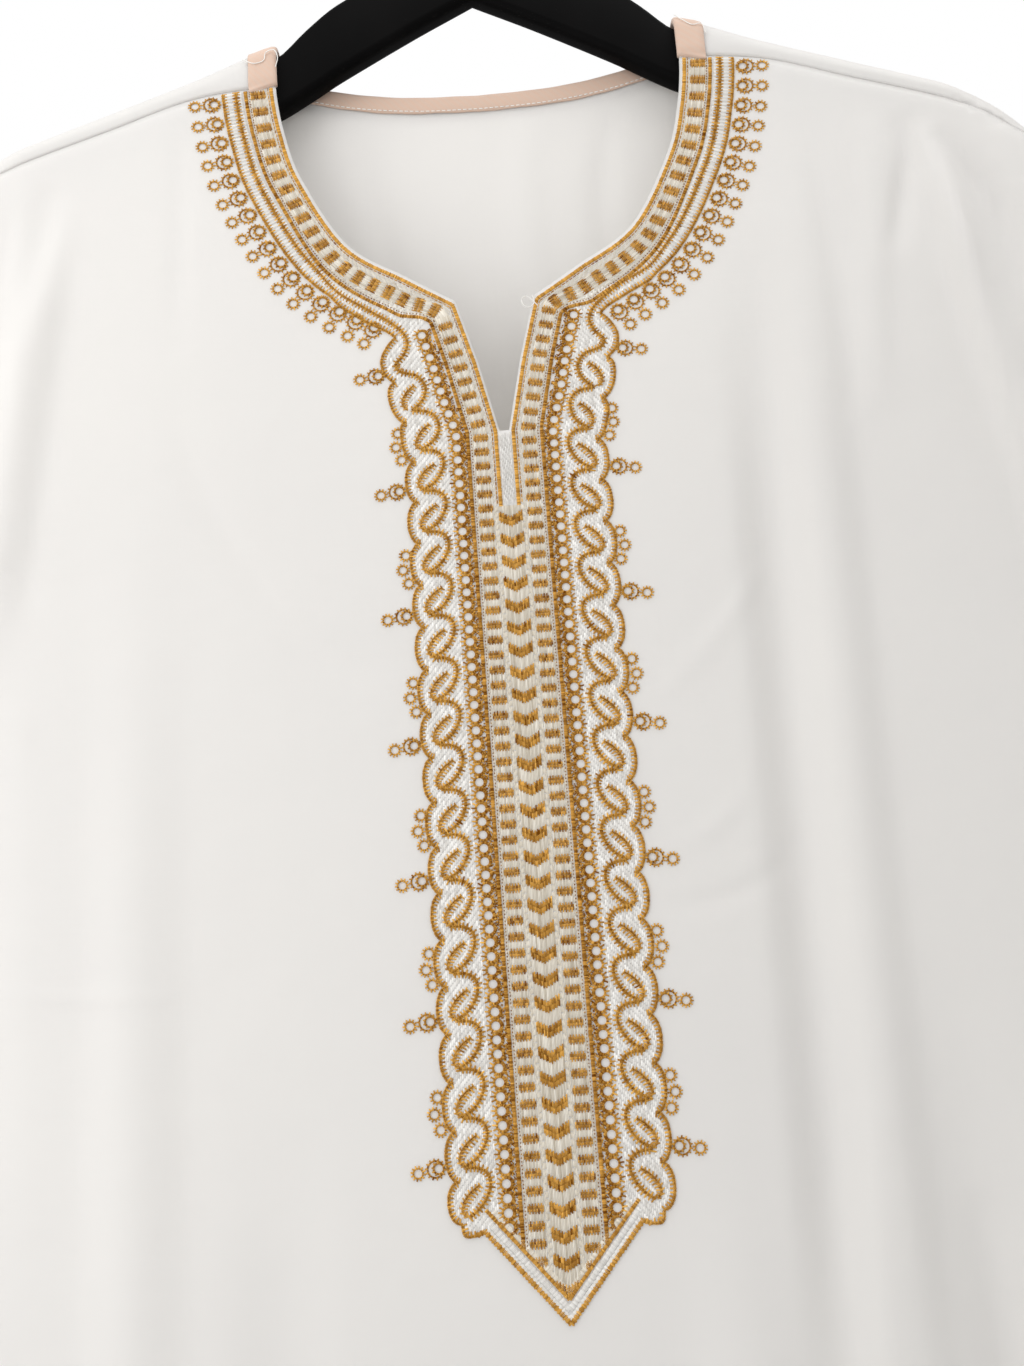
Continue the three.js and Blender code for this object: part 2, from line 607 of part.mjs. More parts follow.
function hangerBody() {
  const stations = [0, 15, 30, 50, 68, 76, 84, 91, 98, 110, 135, 160, 185, 205, 216, ARM_END_X];
  const cornerSteps = 4;
  const sides = 4 * cornerSteps;
  const rings = [...stations.slice(1).reverse().map((x) => -x), ...stations].map((x) => {
    const out = Math.abs(x);
    const tip = 1 - ARM_TIP_LOSS * ease(ARM_END_X - ARM_TIP, ARM_END_X, out);
    const halfThick = (tip * ARM_THICK) / 2;
    const halfTall = (tip * read(ARM, 'out', out, 'tall')) / 2;
    const middle = HEIGHT_OF(read(ARM, 'out', out, 'top')) - read(ARM, 'out', out, 'tall') / 2;
    const round = halfThick * ARM_CORNER;
    return Array.from({ length: sides }, (_, i) => {
      const corner = Math.floor(i / cornerSteps);
      const angle = (Math.PI / 2) * (corner + (i % cornerSteps) / (cornerSteps - 1));
      const back = corner < 2 ? 1 : -1;
      const up = corner === 0 || corner === 3 ? 1 : -1;
      return new THREE.Vector3(x,
        armForward(x) + back * (halfThick - round) + round * Math.sin(angle),
        middle + up * (halfTall - round) + round * Math.cos(angle));
    });
  });
  const positions = rings.flat().flatMap((p) => [p.x, p.y, p.z]);
  const faces = [];
  for (let r = 0; r < rings.length - 1; r += 1) {
    for (let i = 0; i < sides; i += 1) {
      const next = (i + 1) % sides;
      faces.push(r * sides + i, (r + 1) * sides + i, (r + 1) * sides + next);
      faces.push(r * sides + i, (r + 1) * sides + next, r * sides + next);
    }
  }
  const lastRing = (rings.length - 1) * sides;
  for (let i = 1; i < sides - 1; i += 1) {
    faces.push(0, i, i + 1);
    faces.push(lastRing, lastRing + i + 1, lastRing + i);
  }
  const geometry = new THREE.BufferGeometry();
  geometry.setAttribute('position', new THREE.Float32BufferAttribute(positions, 3));
  geometry.setIndex(faces);
  geometry.computeVertexNormals();
  return geometry;
}

function hangerHook() {
  const middle = HOOK_RADIUS + WIRE / 2;
  const centre = -HOOK_RADIUS;
  const foot = HEIGHT_OF(ARM[0].top) + GAP;
  const path = new THREE.CurvePath();
  const bendStart = new THREE.Vector3(0, 0, centre - middle - HOOK_NECK);
  const arcAngle = (degrees) => {
    const angle = THREE.MathUtils.degToRad(degrees);
    return new THREE.Vector3(middle * Math.cos(angle), 0, centre + middle * Math.sin(angle));
  };
  path.add(new THREE.LineCurve3(new THREE.Vector3(0, 0, foot), bendStart));
  path.add(new THREE.QuadraticBezierCurve3(bendStart,
    new THREE.Vector3(0, 0, centre - middle - WIRE / 2), arcAngle(HOOK_START)));
  const arcSteps = 12;
  const arc = Array.from({ length: arcSteps + 1 }, (_, i) => (
    arcAngle(HOOK_START + (i * HOOK_TURN) / arcSteps)));
  path.add(new THREE.CatmullRomCurve3(arc));
  const wireSides = 8;
  const section = new THREE.Shape(Array.from({ length: wireSides }, (_, i) => {
    const angle = (i * 2 * Math.PI) / wireSides;
    return new THREE.Vector2(Math.cos(angle) * WIRE / 2, Math.sin(angle) * WIRE / 2);
  }));
  return new THREE.ExtrudeGeometry(section, { steps: 44, extrudePath: path, bevelEnabled: false });
}

// ---- Colours and assembly ----

const paint = (color, roughness, metalness) => (
  new THREE.MeshStandardMaterial({ color, roughness, metalness }));

const PIECES = [
  ['front_panel', frontPanel(), paint(0xf2f1ee, 0.55, 0)],
  ['back_panel', backPanel(), paint(0xefeeeb, 0.55, 0)],
  ['sleeve_left', sleeve(-1), paint(0xf0efec, 0.55, 0)],
  ['sleeve_right', sleeve(1), paint(0xf1f0ed, 0.55, 0)],
  ['front_embroidery', embroidery(), paint(0xb88026, 0.5, 0)],
  ['neck_binding', neckBinding(), paint(0xdbc0ae, 0.7, 0)],
  ['hanger_body', hangerBody(), paint(0x070605, 0.6, 0)],
  ['hanger_hook', hangerHook(), paint(0x9a9a9c, 0.3, 1)],
];

const thobe = new THREE.Group();
for (const [name, geometry, material] of PIECES) {
  const mesh = new THREE.Mesh(geometry, material);
  mesh.name = name;
  thobe.add(mesh);
}

export default thobe;
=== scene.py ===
"""Thobe on a hanger: white satin-faced robe with an embroidered neck and placket.

Sizes are in millimetres and become metres when a mesh is made. X runs to the viewer's right,
the front faces -Y and +Z is up. A "drop" is a height measured from the neck point of the
shoulder, negative below it, as in the part's own source.
"""
import math

import bpy
import numpy as np
from bpy.props import FloatProperty, FloatVectorProperty, PointerProperty
from mathutils import Matrix, Vector
from mathutils.geometry import delaunay_2d_cdt


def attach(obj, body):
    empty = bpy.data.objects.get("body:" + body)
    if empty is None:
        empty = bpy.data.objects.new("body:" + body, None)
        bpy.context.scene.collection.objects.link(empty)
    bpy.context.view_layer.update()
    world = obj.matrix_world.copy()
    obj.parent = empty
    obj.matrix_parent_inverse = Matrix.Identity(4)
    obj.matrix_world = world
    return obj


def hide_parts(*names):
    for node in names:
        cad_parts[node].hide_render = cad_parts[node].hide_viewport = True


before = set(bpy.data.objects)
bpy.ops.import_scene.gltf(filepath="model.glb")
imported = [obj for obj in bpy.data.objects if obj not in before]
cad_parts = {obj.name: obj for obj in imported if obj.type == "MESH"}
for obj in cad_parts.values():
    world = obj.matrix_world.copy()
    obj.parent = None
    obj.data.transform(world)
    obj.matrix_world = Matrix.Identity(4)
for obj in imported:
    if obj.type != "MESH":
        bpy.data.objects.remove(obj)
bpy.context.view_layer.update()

bl_info = {
    "name": "Thobe on a hanger",
    "version": (1, 0, 0),
    "blender": (4, 5, 0),
    "location": "3D View > Sidebar > Thobe",
    "description": "Makes a hung white thobe with an embroidered neck and placket",
    "category": "Add Mesh",
}

MM = 0.001


def table(columns, rows):
    """Rows of numbers as dicts with the named columns."""
    return [dict(zip(columns.split(), row)) for row in rows]


# ---- Sizes of the robe (mm) ----
NECK_POINT_HEIGHT = -131.0
HEM_DROP = -1370.0
CLOTH = 1.5
GAP = 0.3
COARSE_FROM = -640       # below this drop the mesh is coarser
COARSE_GRID = 9

NECK_HALF = 100.0
SLIT_TOP_DROP = -144.5
SLIT_TOP_HALF = 18.5
SLIT_END_DROP = -212.0
SLIT_END_HALF = 2.2

SCALLOPS = 19
SCALLOP_BULGE_HALF = 46.5
SCALLOP_CUSP_HALF = 41.5
POINT_CORNER_DROP = -562.0
POINT_CORNER_HALF = 32.5
POINT_DROP = -600.0

UNDERARM_DROP = -330.0
ARMHOLE_TOP_X = 268.0
ARMHOLE_LOW_X = 262.0
ARMHOLE_DEPTH = 24.0
ARMHOLE_POWER = 2.4       # 2 would be an ellipse; more is squarer
SIDE_ROUND_FROM = 0.84

ARM_END_X = 222.0
ARM_THICK = 13.0
ARM_FORWARD = 18.0
ARM_CLEARANCE = 1.5

# Shoulder, from the centre outwards: the ridge on the hanger and the front shoulder seam.
SHOULDER = table("out ridge seam", [
    (0, 12, -14), (60, 9, -16), (100, 5.5, -20), (140, -12.5, -27), (180, -30.5, -44),
    (222, -50, -63), (245, -62.5, -76.5), (268, -80, -93),
])

# Body by drop: half width at the side seams, added half depth, and how much of the forward
# curve of the hanger's arms is left in the cloth.
BODY = table("drop half depth forward", [
    (12, 268, 0, 1), (-60, 268, 3.5, 0.95), (-160, 266, 9.5, 0.75), (-330, 262, 13.5, 0.4),
    (-430, 259, 15, 0.3), (-700, 268, 18, 0.12), (-1000, 281, 23, 0), (-1370, 298, 29, 0),
])

# Folds hang as soft ridges (rise above 0) and troughs (rise below 0) from top to end.
FRONT_FOLDS = table("topX top endX end half rise", [
    (121, -110, 106, -740, 20, -6),
    (145, -60, 132, -760, 21, 5.5),
    (208, -70, 252, -330, 19, 6),
    (166, -430, 190, -1370, 30, -9),
    (62, -500, 108, -1370, 27, 8),
    (30, -640, 46, -1370, 28, -6),
    (-58, -600, -76, -1370, 30, 5),
    (-112, -470, -138, -1370, 28, -5),
    (-168, -180, -196, -1370, 26, 4),
    (-206, -75, -240, -320, 19, 5),
])
BACK_FOLDS = table("topX top endX end half rise", [
    (-150, -120, -178, -1370, 30, 7),
    (-86, -260, -112, -1370, 28, -7),
    (-34, -60, -40, -1370, 30, 5),
    (42, -340, 38, -1370, 28, -8),
    (96, -140, 118, -1370, 30, 7),
    (168, -420, 196, -1370, 28, -6),
])

# Small creases and pulls on the front: a line of (x, drop) places, half width and rise.
FRONT_CREASES = table("line half rise", [
    ([(-154, -180), (-141, -231), (-115, -280), (-85, -313), (-55, -327)], 11, -0.9),
    ([(-233, -452), (-190, -457), (-150, -459)], 4, 0.5),
    ([(-236, -262), (-222, -270), (-212, -284)], 6, -0.7),
    ([(-238, -330), (-226, -334), (-214, -342)], 6, 0.6),
    ([(60, -345), (78, -326), (94, -310), (111, -284)], 7, 0.8),
    ([(62, -411), (78, -402), (96, -386)], 6, 0.6),
    ([(50, -436), (82, -433), (112, -418)], 7, -0.6),
    ([(199, -68), (201, -88), (196, -112), (190, -140)], 8, -2.6),
    ([(214, -78), (226, -98), (239, -128), (246, -170)], 9, -3.2),
    ([(209, -76), (215, -120), (219, -170), (229, -225), (238, -262)], 9, 3.2),
    ([(186, -66), (182, -110), (176, -160), (172, -220)], 11, 1.8),
    ([(152, -40), (158, -80), (160, -130), (162, -220)], 10, -1.2),
    ([(-206, -72), (-212, -110), (-222, -160)], 10, -2.0),
    ([(-145, -34), (-147, -90), (-149, -170)], 9, -0.8),
    ([(171, -560), (176, -640), (182, -760)], 12, -2.2),
    ([(126, -520), (122, -600), (126, -700)], 12, 2.0),
])
BACK_CREASES = table("line half rise", [
    ([(-60, -30), (-52, -90), (-46, -160)], 12, 1.2),
    ([(22, -28), (18, -90), (24, -170)], 14, -1.3),
    ([(66, -30), (58, -80), (60, -140)], 11, 1.3),
    ([(206, -80), (214, -130), (232, -200)], 11, 2.6),
    ([(-206, -80), (-216, -140), (-236, -210)], 11, 2.4),
    ([(-120, -60), (-128, -130), (-130, -220)], 12, -1.8),
])

# Right sleeve as flat rings, from the armhole to the cuff.
SLEEVE = table("outX outDrop inX inDrop depth", [
    (301, -113, 264.6, -352, 27), (334, -172, 269, -377, 28), (358, -250, 275, -411, 28),
    (376, -342, 282, -455, 27), (389, -450, 288, -520, 26), (397, -560, 293, -592, 25),
    (403, -655, 296, -668, 24), (406, -724, 298, -728, 23),
])

# Soft folds of the sleeves: where around them (degrees, 0 on top, 90 in front), and how far down.
SLEEVE_FOLDS = table("from to start end half rise", [
    (0.2, 4.6, 150, 96, 24, 5),
    (0.4, 6.2, 118, 58, 22, -4.5),
    (1.0, 7.8, 64, 40, 20, 4),
    (4.2, 8.6, 130, 112, 22, 3.5),
    (0.2, 5.0, 206, 262, 24, 5),
    (0.8, 6.8, 244, 300, 22, -4.5),
    (3.8, 8.6, 232, 250, 22, 3.5),
])

# The hanger's arms, from the centre outwards: top edge (drop) and height.
ARM = table("out top tall", [
    (0, 62, 34.5), (30, 50, 38.5), (68, 29, 40), (84, 15.2, 37), (98, 0.8, 31.6), (110, -4.5, 32),
    (160, -25.3, 29), (200, -42.5, 26), (222, -54, 22),
])

# Round neck of the front and shallow neck of the back, right half, from the shoulder inwards.
FRONT_NECK = [(NECK_HALF, -2), (99.3, -25), (96, -48), (88.5, -74), (68, -111), (40, -130.5),
              (SLIT_TOP_HALF, SLIT_TOP_DROP)]
BACK_NECK = [(NECK_HALF, 8), (98.5, -1), (88, -8.5), (66, -14.5), (34, -18.5), (0, -19.5)]
SLIT = [(9.8, -177), (SLIT_END_HALF, SLIT_END_DROP)]


# ---- Small helpers ----

def read(table, key, place, column):
    """One column of a table at places between its rows, along a smooth curve."""
    keys = np.array([row[key] for row in table], float)
    values = np.array([row[column] for row in table], float)
    if keys[1] < keys[0]:
        keys, values = keys[::-1], values[::-1]
    at = np.clip(np.asarray(place, float), keys[0], keys[-1])
    row = np.clip(np.searchsorted(keys, at, side="right") - 1, 0, len(keys) - 2)
    slopes = np.empty(len(keys))
    slopes[1:-1] = (values[2:] - values[:-2]) / (keys[2:] - keys[:-2])
    slopes[0] = (values[1] - values[0]) / (keys[1] - keys[0])
    slopes[-1] = (values[-1] - values[-2]) / (keys[-1] - keys[-2])
    span = keys[row + 1] - keys[row]
    t = (at - keys[row]) / span
    rest = 1 - t
    return (values[row] * (1 + 2 * t) * rest * rest + slopes[row] * span * t * rest * rest
            + values[row + 1] * t * t * (1 + 2 * rest) - slopes[row + 1] * span * rest * t * t)


def ease(start, end, at):
    """0 at start, 1 at end and a soft change between them."""
    t = np.clip((np.asarray(at, float) - start) / (end - start), 0, 1)
    return t * t * (3 - 2 * t)


def unit(vectors):
    return vectors / np.linalg.norm(vectors, axis=-1)[..., None]


def places(x, other):
    """Places from their two measures, either of which may be one number for all."""
    return np.column_stack(np.broadcast_arrays(x, other))


def lengths_along(line):
    """How far along a line each of its places lies."""
    steps = np.linalg.norm(np.diff(line, axis=0), axis=1)
    return np.concatenate([[0], np.cumsum(steps)])


def smooth(points, step):
    """A smooth line (Catmull-Rom) through points, as evenly spaced places."""
    p = np.array(points, float)
    p = np.vstack([2 * p[0] - p[1], p, 2 * p[-1] - p[-2]])
    fine = []
    for a, b, c, d in zip(p, p[1:], p[2:], p[3:]):
        t = np.linspace(0, 1, 24, endpoint=False)[:, None]
        fine.append(0.5 * (2 * b + (c - a) * t + (2 * a - 5 * b + 4 * c - d) * t ** 2
                           + (3 * b - a - 3 * c + d) * t ** 3))
    return evenly(np.vstack(fine + [p[-2:-1]]), step)


def evenly(line, step):
    """A line's places, spaced evenly at about step."""
    line = np.asarray(line, float)
    along = lengths_along(line)
    count = max(int(round(along[-1] / step)), 2)
    at = np.linspace(0, along[-1], count + 1)
    return np.column_stack([np.interp(at, along, line[:, k]) for k in range(line.shape[1])])


def sideways(line):
    """Unit vectors to the left of a line's direction."""
    along = unit(np.gradient(np.asarray(line, float), axis=0))
    return np.column_stack([-along[:, 1], along[:, 0]])


# ---- The hung shape of the cloth ----

ARCH_RADIUS = ARM_THICK / 2 + ARM_CLEARANCE + CLOTH


def ridge_at(x):
    return read(SHOULDER, "out", np.abs(x), "ridge")


def seam_at(x):
    return read(SHOULDER, "out", np.abs(x), "seam")


def arm_forward(x):
    return -ARM_FORWARD * np.minimum(np.abs(x) / ARM_END_X, 1) ** 2


RIDGE_END = float(ridge_at(ARMHOLE_TOP_X))


def half_width(drop):
    """Half width of the body: at the armhole above the underarm, at the side seam below."""
    share = np.clip((drop - UNDERARM_DROP) / (RIDGE_END - UNDERARM_DROP), 0, 1)
    armhole = ARMHOLE_LOW_X + (ARMHOLE_TOP_X - ARMHOLE_LOW_X) * share
    return np.where(drop > UNDERARM_DROP, armhole, read(BODY, "drop", drop, "half"))


def armhole_depth(drop):
    middle = (RIDGE_END + UNDERARM_DROP) / 2
    share = np.minimum(np.abs(drop - middle) / (RIDGE_END - middle), 1)
    return ARMHOLE_DEPTH * (1 - share ** ARMHOLE_POWER) ** (1 / ARMHOLE_POWER)


def armhole_centre(drop):
    share = np.clip((drop - UNDERARM_DROP) / -UNDERARM_DROP, 0, 1)
    return arm_forward(ARM_END_X) * share


def folds_at(folds, x, drop):
    """Height of the long folds, which run out at the hem or fade before it."""
    total = np.zeros_like(x)
    for fold in folds:
        share = (drop - fold["top"]) / (fold["end"] - fold["top"])
        line = fold["topX"] + (fold["endX"] - fold["topX"]) * share
        off = np.abs(x - line) / fold["half"]
        fade = 1 if fold["end"] == HEM_DROP else 1 - ease(0.7, 1, share)
        bump = 0.5 * (1 + np.cos(np.pi * np.minimum(off, 1)))
        inside = (share > 0) & (share < 1.0001) & (off < 1)
        total += np.where(inside, fold["rise"] * bump * ease(0, 0.3, share) * fade, 0)
    return total


def crease_lines(creases):
    """The creases as finely divided lines, each with the box that it reaches."""
    lines = []
    for crease in creases:
        line = smooth(crease["line"], 6.0)
        lines.append((line, line.min(axis=0) - crease["half"], line.max(axis=0) + crease["half"],
                      crease["half"], crease["rise"]))
    return lines


def creases_at(lines, x, drop):
    """Height of the small creases, which taper to nothing at both ends."""
    total = np.zeros_like(x)
    for line, low, high, half, rise in lines:
        inside = (x > low[0]) & (x < high[0]) & (drop > low[1]) & (drop < high[1])
        if not inside.any():
            continue
        px, pd = x[inside], drop[inside]
        near = np.full(px.shape, 1e9)
        share = np.zeros_like(px)
        for k, (a, b) in enumerate(zip(line, line[1:])):
            d = b - a
            t = np.clip(((px - a[0]) * d[0] + (pd - a[1]) * d[1]) / (d @ d), 0, 1)
            off = np.hypot(px - a[0] - t * d[0], pd - a[1] - t * d[1])
            closer = off < near
            near = np.where(closer, off, near)
            share = np.where(closer, (k + t) / (len(line) - 1), share)
        soft = np.clip(1 - (near / half) ** 2, 0, 1) ** 2
        total[inside] += rise * soft * np.sin(np.pi * np.clip(share, 0, 1)) ** 0.7
    return total


FRONT_LINES = crease_lines(FRONT_CREASES)
BACK_LINES = crease_lines(BACK_CREASES)
SEAM_DIP = 0.9           # how deep the shoulder seam draws the cloth in
SEAM_SOFT = 2.4          # how far from the seam it does so


def arch_tall(x):
    return ARCH_RADIUS + 34 * ease(ARM_END_X, ARMHOLE_TOP_X, np.abs(x))


def body_point(x, drop, side):
    """Points of the body's outer surface. side is -1 on the front and 1 on the back."""
    x = np.asarray(x, float)
    drop = np.asarray(drop, float)
    rise = np.clip((ridge_at(x) - drop) / arch_tall(x), 0, 1)
    arch = np.sqrt(1 - (1 - rise) ** 2)
    x, drop, side = np.broadcast_arrays(x, drop, side)
    front = side < 0
    folds = np.zeros(x.shape)
    for here, big, small in ((front, FRONT_FOLDS, FRONT_LINES), (~front, BACK_FOLDS, BACK_LINES)):
        if here.any():
            folds[here] = folds_at(big, x[here], drop[here]) + creases_at(small, x[here], drop[here])
    folds = folds - SEAM_DIP * np.exp(-((drop - seam_at(x)) / SEAM_SOFT) ** 2) * front
    opened = 10 * ease(ARM_END_X, ARMHOLE_TOP_X, np.abs(x))
    depth = arch * (ARCH_RADIUS + opened + read(BODY, "drop", drop, "depth")) + folds
    y = arm_forward(x) * read(BODY, "drop", drop, "forward") + side * depth
    to_edge = np.clip((np.abs(x) / half_width(drop) - SIDE_ROUND_FROM) / (1 - SIDE_ROUND_FROM), 0, 1)
    turn = 1 - np.sqrt(1 - to_edge ** 2)
    edge = np.where(drop > UNDERARM_DROP,
                    armhole_centre(drop) + side * np.maximum(armhole_depth(drop), GAP / 2),
                    side * GAP / 2)
    y = y + (edge - y) * turn
    return np.stack([x, y, NECK_POINT_HEIGHT + drop], axis=-1)


def frame_on(surface, reach, x, y):
    """On a surface: places, the ways along its two measures, and the way out of it."""
    place = surface(x, y)
    across = (surface(x + reach, y) - surface(x - reach, y)) / (2 * reach)
    along = (surface(x, y + reach) - surface(x, y - reach)) / (2 * reach)
    return place, across, along, unit(np.cross(across, along))


def front_point(x, drop):
    return body_point(x, drop, -1)


def front_frame(x, drop):
    """The frame on the front; its second way runs up the cloth."""
    return frame_on(front_point, 0.8, x, drop)


def fallen_drop(x, v):
    """The drop of a place v mm along the cloth from the ridge."""
    tall = arch_tall(x)
    quarter = tall * math.pi / 2
    angle = np.minimum(np.abs(v) / quarter, 1) * math.pi / 2
    return ridge_at(x) - tall * (1 - np.cos(angle)) - np.maximum(np.abs(v) - quarter, 0)


def over_shoulder(x, v):
    """Points of the back piece, v mm along the cloth from the ridge; below 0 lies in front."""
    x = np.asarray(x, float)
    v = np.asarray(v, float)
    return body_point(x, fallen_drop(x, v), np.where(v < 0, -1, 1))


def shoulder_frame(x, v):
    """The frame on the back piece; its second way runs on over the shoulder, down."""
    return frame_on(over_shoulder, 0.5, x, v)


def along_back(x, drop, side=1):
    """How far along the cloth a drop lies from the ridge."""
    tall = arch_tall(x)
    fallen = np.maximum(ridge_at(x) - np.asarray(drop, float), 0)
    on_arch = np.arccos(np.clip(1 - fallen / tall, 0, 1)) * tall
    return side * np.where(fallen > tall, tall * math.pi / 2 + fallen - tall, on_arch)


# ---- Colours and materials ----

def from_hex(text):
    """An sRGB hex colour as linear RGBA."""
    parts = [int(text[i:i + 2], 16) / 255 for i in (1, 3, 5)]
    return tuple(c / 12.92 if c <= 0.04045 else ((c + 0.055) / 1.055) ** 2.4 for c in parts) + (1.0,)


def opaque(colour):
    """A colour of the panel as RGBA."""
    return tuple(colour) + (1.0,)


def add_node(tree, kind, inputs=None, **settings):
    """Adds a node with its settings; an input is a value or another node's output."""
    node = tree.nodes.new(kind)
    for name, value in settings.items():
        setattr(node, name, value)
    for socket, value in (inputs or {}).items():
        if isinstance(value, bpy.types.NodeSocket):
            tree.links.new(value, node.inputs[socket])
        else:
            node.inputs[socket].default_value = value
    return node


def new_material(name):
    """A named material without nodes, its tree, and the place on the object for its patterns."""
    material = bpy.data.materials.new(name)
    material.use_nodes = True
    tree = material.node_tree
    tree.nodes.clear()
    return material, tree, add_node(tree, "ShaderNodeTexCoord").outputs["Object"]


def noise(tree, place, size, detail, roughness=0.5):
    """A noise whose forms are about size mm large."""
    return add_node(tree, "ShaderNodeTexNoise", {
        "Vector": place, "Scale": 1 / (size * MM), "Detail": detail,
        "Roughness": roughness}).outputs["Fac"]


def threads(tree, place, spacing, direction, distortion, detail, inputs=None):
    """Threads that lie spacing mm apart in a direction."""
    return add_node(tree, "ShaderNodeTexWave", {
        "Vector": place, "Scale": 1 / (spacing * MM * 2 * math.pi) * 0.5,
        "Distortion": distortion, "Detail": detail, **(inputs or {})},
        wave_type="BANDS", bands_direction=direction).outputs["Fac"]


def raised(tree, height, strength, depth, inputs=None):
    """The surface's facing where height raises it by up to depth mm."""
    return add_node(tree, "ShaderNodeBump", {
        "Height": height, "Strength": strength, "Distance": depth * MM,
        **(inputs or {})}).outputs["Normal"]


def mixed_colour(tree, share, first, second):
    """A colour between the first and the second."""
    return add_node(tree, "ShaderNodeMix", {"Factor": share, "A": first, "B": second},
                    data_type="RGBA").outputs["Result"]


def surface_of(tree, colour, roughness, inputs):
    """The surface of a solid material."""
    return add_node(tree, "ShaderNodeBsdfPrincipled", {
        "Base Color": colour, "Roughness": roughness, **inputs}).outputs["BSDF"]


def finished(material, tree, shader):
    """Links the shader to the material's output and gives the material back."""
    add_node(tree, "ShaderNodeOutputMaterial", {"Surface": shader})
    return material


def satin_polyester():
    """Woven polyester filament with a satin face: the light slides softly along its folds."""
    look = bpy.context.scene.thobe_cloth
    material, tree, place = new_material("white satin-faced polyester, woven")
    # Real threads lie 0.2 mm apart; these lie wider so that they show.
    warp, weft = [threads(tree, place, look.thread_spacing, way, 0.6, 1.0, {"Detail Scale": 2.0})
                  for way in "XZ"]
    weave = add_node(tree, "ShaderNodeMath", {0: warp, 1: weft}, operation="ADD")
    soft = raised(tree, noise(tree, place, 26, 3.0, 0.45), 0.32, 1.6)
    fine = raised(tree, weave.outputs[0], 0.05, 0.1, {"Normal": soft})
    colour = mixed_colour(tree, noise(tree, place, 140, 2.0), opaque(look.cloth_colour),
                          opaque(look.shade_colour))
    face = surface_of(tree, colour, look.cloth_roughness, {
        "IOR": 1.5, "Sheen Weight": 0.22, "Sheen Roughness": 0.4, "Specular IOR Level": 0.35,
        "Normal": fine})
    through = add_node(tree, "ShaderNodeBsdfTranslucent", {
        "Color": from_hex("#F4F1EC"), "Normal": fine})
    both = add_node(tree, "ShaderNodeMixShader", {
        0: look.see_through, 1: face, 2: through.outputs["BSDF"]})
    return finished(material, tree, both.outputs[0])


def embroidery_thread(name, light, dark, roughness):
    """Smooth twisted filament, laid as stitches: each stitch's tone, partly random, mixes a painted
    shade (dark) with a painted highlight (light), so each stitch carries its own painted light and
    shade.
    """
    material, tree, _ = new_material(name)
    tone = add_node(tree, "ShaderNodeAttribute", attribute_name="tone")
    colour = mixed_colour(tree, tone.outputs["Fac"], dark, light)
    return finished(material, tree, surface_of(tree, colour, roughness, {
        "IOR": 1.5, "Specular IOR Level": 0.3, "Specular Tint": light}))


def cotton_tape():
    """Plain-woven cotton cut on the bias: matt, with a fine slanting grain."""
    look = bpy.context.scene.thobe_cloth
    material, tree, place = new_material("peach cotton bias tape, plain woven")
    # The grain is drawn at 0.5 mm, coarser than the real 0.3 mm, so that it shows.
    grain = threads(tree, place, 0.5, "DIAGONAL", 1.2, 2.0)
    colour = mixed_colour(tree, grain, opaque(look.tape_colour), from_hex("#CBB2A1"))
    return finished(material, tree, surface_of(tree, colour, 0.8, {
        "IOR": 1.5, "Sheen Weight": 0.25, "Sheen Roughness": 0.5, "Specular IOR Level": 0.3,
        "Normal": raised(tree, grain, 0.06, 0.1)}))


def sewing_thread():
    """Spun polyester thread: matt, a little fuzzy."""
    material, tree, place = new_material("white spun polyester sewing thread")
    colour = mixed_colour(tree, noise(tree, place, 0.8, 1.0), from_hex("#DAD6D0"),
                          from_hex("#F2F0EC"))
    return finished(material, tree, surface_of(tree, colour, 0.65, {
        "IOR": 1.5, "Sheen Weight": 0.2}))


def moulded_black():
    """Injection-moulded polypropylene from a spark-grained mould: soft, broad highlights."""
    material, tree, place = new_material("black polypropylene, moulded with a fine matt grain")
    grain = raised(tree, noise(tree, place, 0.7, 3.0), 0.16, 0.12)
    colour = mixed_colour(tree, noise(tree, place, 30, 4.0), from_hex("#020202"),
                          from_hex("#0A0909"))
    return finished(material, tree, surface_of(tree, colour, 0.55, {
        "IOR": 1.49, "Specular IOR Level": 0.04, "Normal": grain}))


def drawn_steel():
    """Drawn steel wire with bright plating: fine draw lines along its length."""
    material, tree, place = new_material("nickel-plated steel wire, drawn")
    lines = noise(tree, place, 2.5, 4.0)
    rough = add_node(tree, "ShaderNodeMapRange", {"Value": lines, "To Min": 0.2, "To Max": 0.36})
    colour = mixed_colour(tree, lines, from_hex("#B9B9BC"), from_hex("#D4D4D6"))
    return finished(material, tree, surface_of(tree, colour, rough.outputs["Result"], {
        "Metallic": 1.0}))


# ---- Meshes ----

def add_object(name, data):
    """An object of the scene, made of its data."""
    item = bpy.data.objects.new(name, data)
    bpy.context.scene.collection.objects.link(item)
    return item


def add_piece(name, points, faces, material, tone=None):
    """A mesh piece from points in mm, riding on the robe's only body."""
    mesh = bpy.data.meshes.new(name)
    mesh.from_pydata(np.asarray(points, float) * MM, [], np.asarray(faces))
    mesh.polygons.foreach_set("use_smooth", [True] * len(mesh.polygons))
    if tone is not None:
        layer = mesh.attributes.new("tone", "FLOAT", "POINT")
        layer.data.foreach_set("value", np.asarray(tone, np.float32))
    mesh.materials.append(material)
    mesh.update()
    piece = add_object(name, mesh)
    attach(piece, "root")
    return piece


def thicken(piece):
    """Gives a sheet the cloth's thickness, inwards from its outer face."""
    shell = piece.modifiers.new("thickness", "SOLIDIFY")
    shell.thickness = CLOTH * MM
    shell.offset = -1.0
    shell.use_even_offset = False


